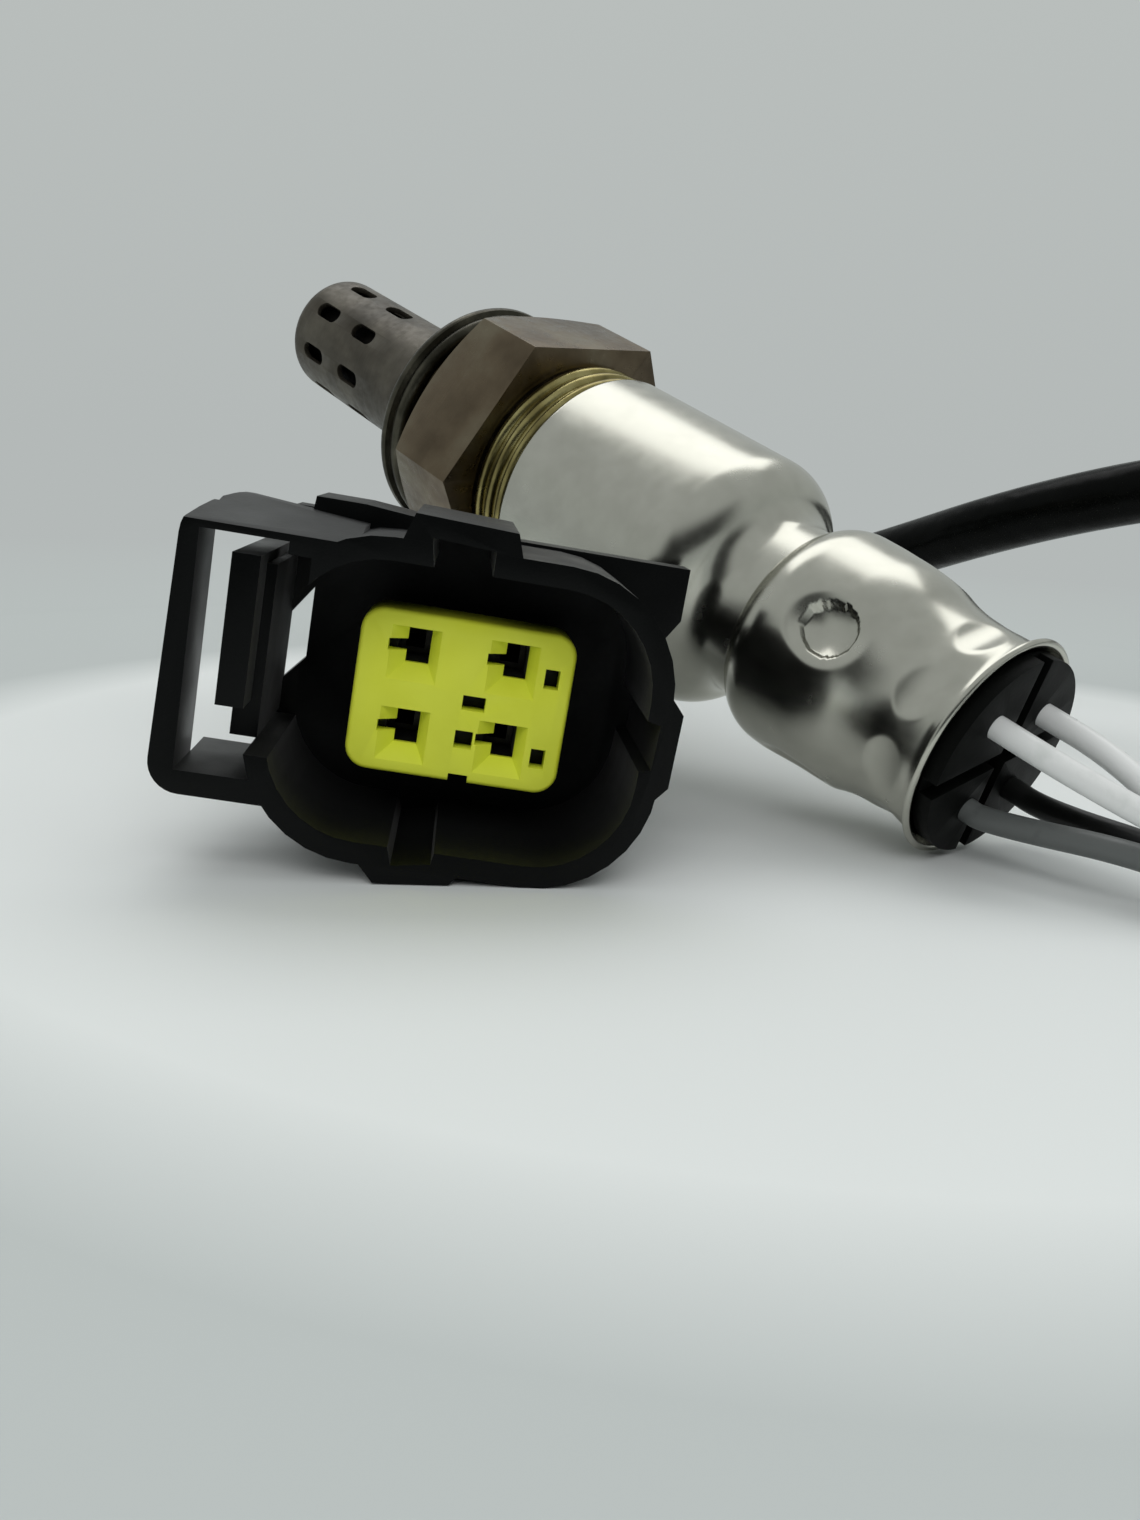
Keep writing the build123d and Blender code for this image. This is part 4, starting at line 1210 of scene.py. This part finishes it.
# ---- wires and sleeve
@dataclass
class Lead:
    """Four wires from the grommet and the sleeve that takes them to the plug.

    Attributes:
        pitch_r: Radius of the circle on which the wires leave the grommet.
        spread: How far each wire lies from the sleeve's middle, across and up.
        drop: How far the wires come down into the mouth of the sleeve.
        route: Corners of the sleeve's route, in millimetres in the part's frame, from its mouth.
        entry: Heights in the socket's frame at which the sleeve goes into the plug.
        wires: For each wire its node, finish, angle about the axis, place in the sleeve and where it bends.
    """

    wire_r: float = 0.825
    sleeve_r: float = 3.0
    pitch_r: float = 4.05
    spread: float = 0.9
    drop: Point3 = (-5.5, 0.0, 1.2)
    route: tuple[Point3, ...] = (
        (56.0, 0.0, 3.05), (76.5, 0.0, 3.05), (97.0, 11.5, 4.3), (104.7, 34.1, 10.0), (96.3, 57.1, 17.0),
        (75.1, 69.4, 23.5), (49.0, 62.0, 27.5), (22.77, 49.42, 25.5), (-19.8, 53.1, 10.9), (-38.5, 32.1, 3.3),
        (-32.9, 4.6, 3.4),
    )
    entry: Point2 = (-39.0, -26.0)
    wires: tuple[tuple[str, Finish, float, int, int, float], ...] = (
        ("heater_wire_1", WHITE_WIRE, 138.5, -1, 1, 51.4), ("heater_wire_2", WHITE_WIRE, 47.0, 1, 1, 51.4),
        ("ground_wire", GREY_WIRE, 248.0, -1, -1, 47.6), ("signal_wire", BLACK_WIRE, 318.0, 1, -1, 49.2),
    )

    @staticmethod
    def _lay(name: str, points: Sequence[Vector], radius: float, finish: Finish, node: str, far_end: str,
             rides: Sequence[bpy.types.Object] = ()) -> None:
        """Lay one round cord along a route.

        Args:
            name: Name of the piece.
            points: Control points in metres.
            radius: Radius in millimetres.
            finish: Its finish.
            node: Solid that it stands for.
            far_end: What its far end is on. Not used.
            rides: Pieces that its far end would carry. Not used.
        """
        data = bpy.data.curves.new(name, "CURVE")
        data.dimensions, data.bevel_depth, data.bevel_resolution = "3D", radius * MM, 8
        data.resolution_u, data.use_fill_caps = 24, True
        line = data.splines.new("NURBS")
        line.points.add(len(points) - 1)
        for spot, point in zip(line.points, points):
            spot.co = (*point, 1.0)
        line.order_u = 3
        line.use_endpoint_u = True
        cord = bpy.data.objects.new(name, data)
        bpy.context.scene.collection.objects.link(cord)
        dress(cord, finish, [node])
        log.info("cord %s: %.1f mm", name, line.calc_length() / MM)

    def build(self, plug: Sequence[bpy.types.Object]) -> None:
        """Lay the wires and the sleeve.

        Args:
            plug: What is on the far end of the sleeve.
        """
        sensor, socket, mouth = local_frame(Frame3.SENSOR), local_frame(Frame3.SOCKET), Vector(self.route[0])
        for node, finish, angle, side, level, bend in self.wires:
            x, y = self.pitch_r * math.cos(math.radians(angle)), self.pitch_r * math.sin(math.radians(angle))
            points = [sensor @ Vector((x, y, z)) for z in (33.0, 45.9, bend)]
            end = mouth + Vector((0, side * self.spread, level * self.spread))
            points += [(end + Vector(self.drop)) * MM, end * MM]
            self._lay(f"{node}_insulation", points, self.wire_r, finish, node, "object")
        points = [Vector(p) * MM for p in self.route] + [socket @ Vector((0, 0, z)) for z in self.entry]
        self._lay("black_sleeve", points, self.sleeve_r, SLEEVE, "cable_sleeve", "connector", plug)


# ---- studio
@dataclass
class Studio:
    """Pale floor, soft light and the camera.

    Attributes:
        eye: Camera in millimetres.
        heading: Level direction of view.
        roll: Roll of the camera, radians.
        lens: Focal length in millimetres on a 36 mm tall frame.
        panel: Middle of the ceiling panel, in metres.
        panel_size: Its width and length.
        middle: Middle of the palest floor, in metres.
    """

    eye: Point3 = (80.85, -79.26, 24.94)
    heading: Point2 = (-0.72300, 0.69085)
    pitch: float = 0.22266
    roll: float = 0.04893
    lens: float = 31.733
    panel: Point3 = (-0.296, 0.283, 0.75)
    panel_size: Point2 = (0.9, 0.53)
    middle: Point3 = (0.0128, 0.0073, 0.0)

    def _camera(self) -> None:
        """Stand the camera a hand's breadth in front of the plug."""
        level = Vector((*self.heading, 0.0)).normalized()
        right0, up = Vector((level.y, -level.x, 0.0)), Vector((0, 0, 1))
        forward = level * math.cos(self.pitch) - up * math.sin(self.pitch)
        up0 = level * math.sin(self.pitch) + up * math.cos(self.pitch)
        right = right0 * math.cos(self.roll) + up0 * math.sin(self.roll)
        up = up0 * math.cos(self.roll) - right0 * math.sin(self.roll)
        data = bpy.data.cameras.new("camera")
        data.sensor_fit, data.sensor_height, data.lens = "VERTICAL", 36.0, self.lens
        data.clip_start, data.clip_end = 0.002, 20.0
        item = bpy.data.objects.new("camera", data)
        turn = Matrix((right, up, -forward)).transposed().to_4x4()
        item.matrix_world = Matrix.Translation(Vector(self.eye) * MM) @ turn
        bpy.context.scene.collection.objects.link(item)
        bpy.context.scene.camera = item

    def _floor(self) -> None:
        """Lay the floor: white under the part, greyer beyond, and fading into the wall far off."""
        bm = bmesh.new()
        bmesh.ops.create_circle(bm, cap_ends=True, segments=96, radius=3.0)
        item = to_object("floor", bm)
        paint = bpy.data.materials.new("pale_floor")
        nodes = Nodes(paint)
        far = nodes.add("VectorMath", nodes.add("TexCoord", out="Object"), self.middle, operation="DISTANCE",
                        out="Value")
        edge = nodes.add("ValToRGB", nodes.add("MapRange", far, 0.066, 0.078), stops=[(0.0, "ECEFEE"), (1.0, "C6CBCA")])
        nodes.fill(nodes.tree.nodes["Principled BSDF"], {
            "Base Color": nodes.add("VectorMath", edge, operation="SCALE",
                                    Scale=nodes.add("MapRange", far, 0.10, 0.26, 1.0, 0.0)),
            "Specular IOR Level": nodes.add("MapRange", far, 0.07, 0.12, 0.2, 0.0),
            "Emission Strength": nodes.add("MapRange", far, 0.10, 0.26),
            "Emission Color": srgb("B4B9B8"),
            "Roughness": 0.6,
        })
        item.data.materials.append(paint)

    def _room(self) -> None:
        """Grey walls all round; reflections also see a dark side behind the camera."""
        world = bpy.data.worlds.new("room")
        bpy.context.scene.world = world
        nodes = Nodes(world)
        look = nodes.add("TexCoord", out="Generated")
        rise = nodes.add("SeparateXYZ", look, out="Z")
        wall = nodes.add("ValToRGB", rise, stops=[(0.0, "B4B9B8"), (0.30, "B9BEBC"), (0.60, "BCC0BF"), (1.0, "BCC0BF")])
        behind = Vector((-self.heading[0], -self.heading[1], 0.05)).normalized()
        turned = nodes.add("VectorMath", look, behind, operation="DOT_PRODUCT", out="Value")
        side = nodes.add("MapRange", turned, 0.5, 0.85, 1.0, 0.08, interpolation_type="SMOOTHSTEP")
        high = nodes.add("MapRange", rise, 0.3, 0.65, interpolation_type="SMOOTHSTEP")
        lit = nodes.add("Math", side, high, operation="MAXIMUM")
        lit = nodes.add("Math", lit, nodes.add("LightPath", out="Is Camera Ray"), operation="MAXIMUM")
        nodes.fill(nodes.tree.nodes["Background"], {
            "Color": nodes.add("VectorMath", wall, operation="SCALE", Scale=lit), "Strength": 1.0})

    def _lamp(self, name: str, at: Point3, aim: Point3, size: Point2, power: float, mirrored: bool) -> bpy.types.Object:
        """Hang a soft rectangular lamp.

        Args:
            name: Its name.
            at: Where it stands, in metres.
            aim: What it points at.
            size: Width and height in metres.
            power: Watts.
            mirrored: Whether bright metal shows it.

        Returns:
            The lamp.
        """
        data = bpy.data.lights.new(name, "AREA")
        data.shape, data.size, data.size_y, data.energy = "RECTANGLE", size[0], size[1], power
        item = bpy.data.objects.new(name, data)
        item.location = at
        item.rotation_euler = (Vector(aim) - Vector(at)).to_track_quat("-Z", "Y").to_euler()
        item.visible_glossy = mirrored
        bpy.context.scene.collection.objects.link(item)
        return item

    def build(self) -> None:
        """Set the whole studio."""
        bpy.context.scene.view_settings.view_transform = "Standard"
        self._camera()
        self._floor()
        self._room()
        under = (self.panel[0], self.panel[1], 0.0)
        for name, power, mirrored in (("ceiling_panel", 2.35, True), ("ceiling_fill", 0.95, False)):
            panel = self._lamp(name, self.panel, under, self.panel_size, power, mirrored)
            panel.rotation_euler.z = math.atan2(-self.heading[0], self.heading[1])
        self._lamp("front_fill", (0.33, -0.30, 0.35), (0.0, 0.0, 0.01), (0.4, 0.3), 0.85, False)


# ---- whole part
# The terminals' finish is darkened as painted shade of their chambers.
ON_LEAD = {
    "wire_seal": SEAL, "seal_cover": PLUG, "heater_terminal_1": TERMINAL, "heater_terminal_2": TERMINAL,
    "ground_terminal": TERMINAL, "signal_terminal": TERMINAL,
}
INSIDE = {
    "inner_protection_tube": INNER, "sensing_element": CERAMIC, "element_washer": SPRING, "talc_seal": TALC,
    "packing_ring": CERAMIC, "heater_rod": CERAMIC, "spring_ring": SPRING, "ceramic_insulator": CERAMIC,
    "heater_contact_1": CONTACT, "heater_contact_2": CONTACT, "signal_contact": CONTACT, "ground_contact": CONTACT,
}


def dress_nodes(nodes: dict[str, bpy.types.Object]) -> None:
    """Give the solids that stay their finishes.

    Args:
        nodes: The frame's solids by name.
    """
    for name, finish in {**INSIDE, **ON_LEAD}.items():
        nodes[name].data.materials.clear()
        nodes[name].data.materials.append(finish.material())
        log.info("node %s: %s", name, finish.name)


def main() -> None:
    """Build the part in order."""
    logging.basicConfig(level=logging.INFO, format="%(message)s")
    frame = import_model()
    Studio().build()
    dress_nodes(frame["nodes"])
    plug = [PlugHousing().build(), TerminalHolder().build()]
    Lead().build([*plug, *(frame["nodes"][name] for name in ON_LEAD)])
    for piece in (ProtectionTube(), HexHousing(), SeatGasket(), CrimpRing(), MainShell(), RearShell(), GrommetFace()):
        piece.build()


if __name__ == "__main__":
    main()
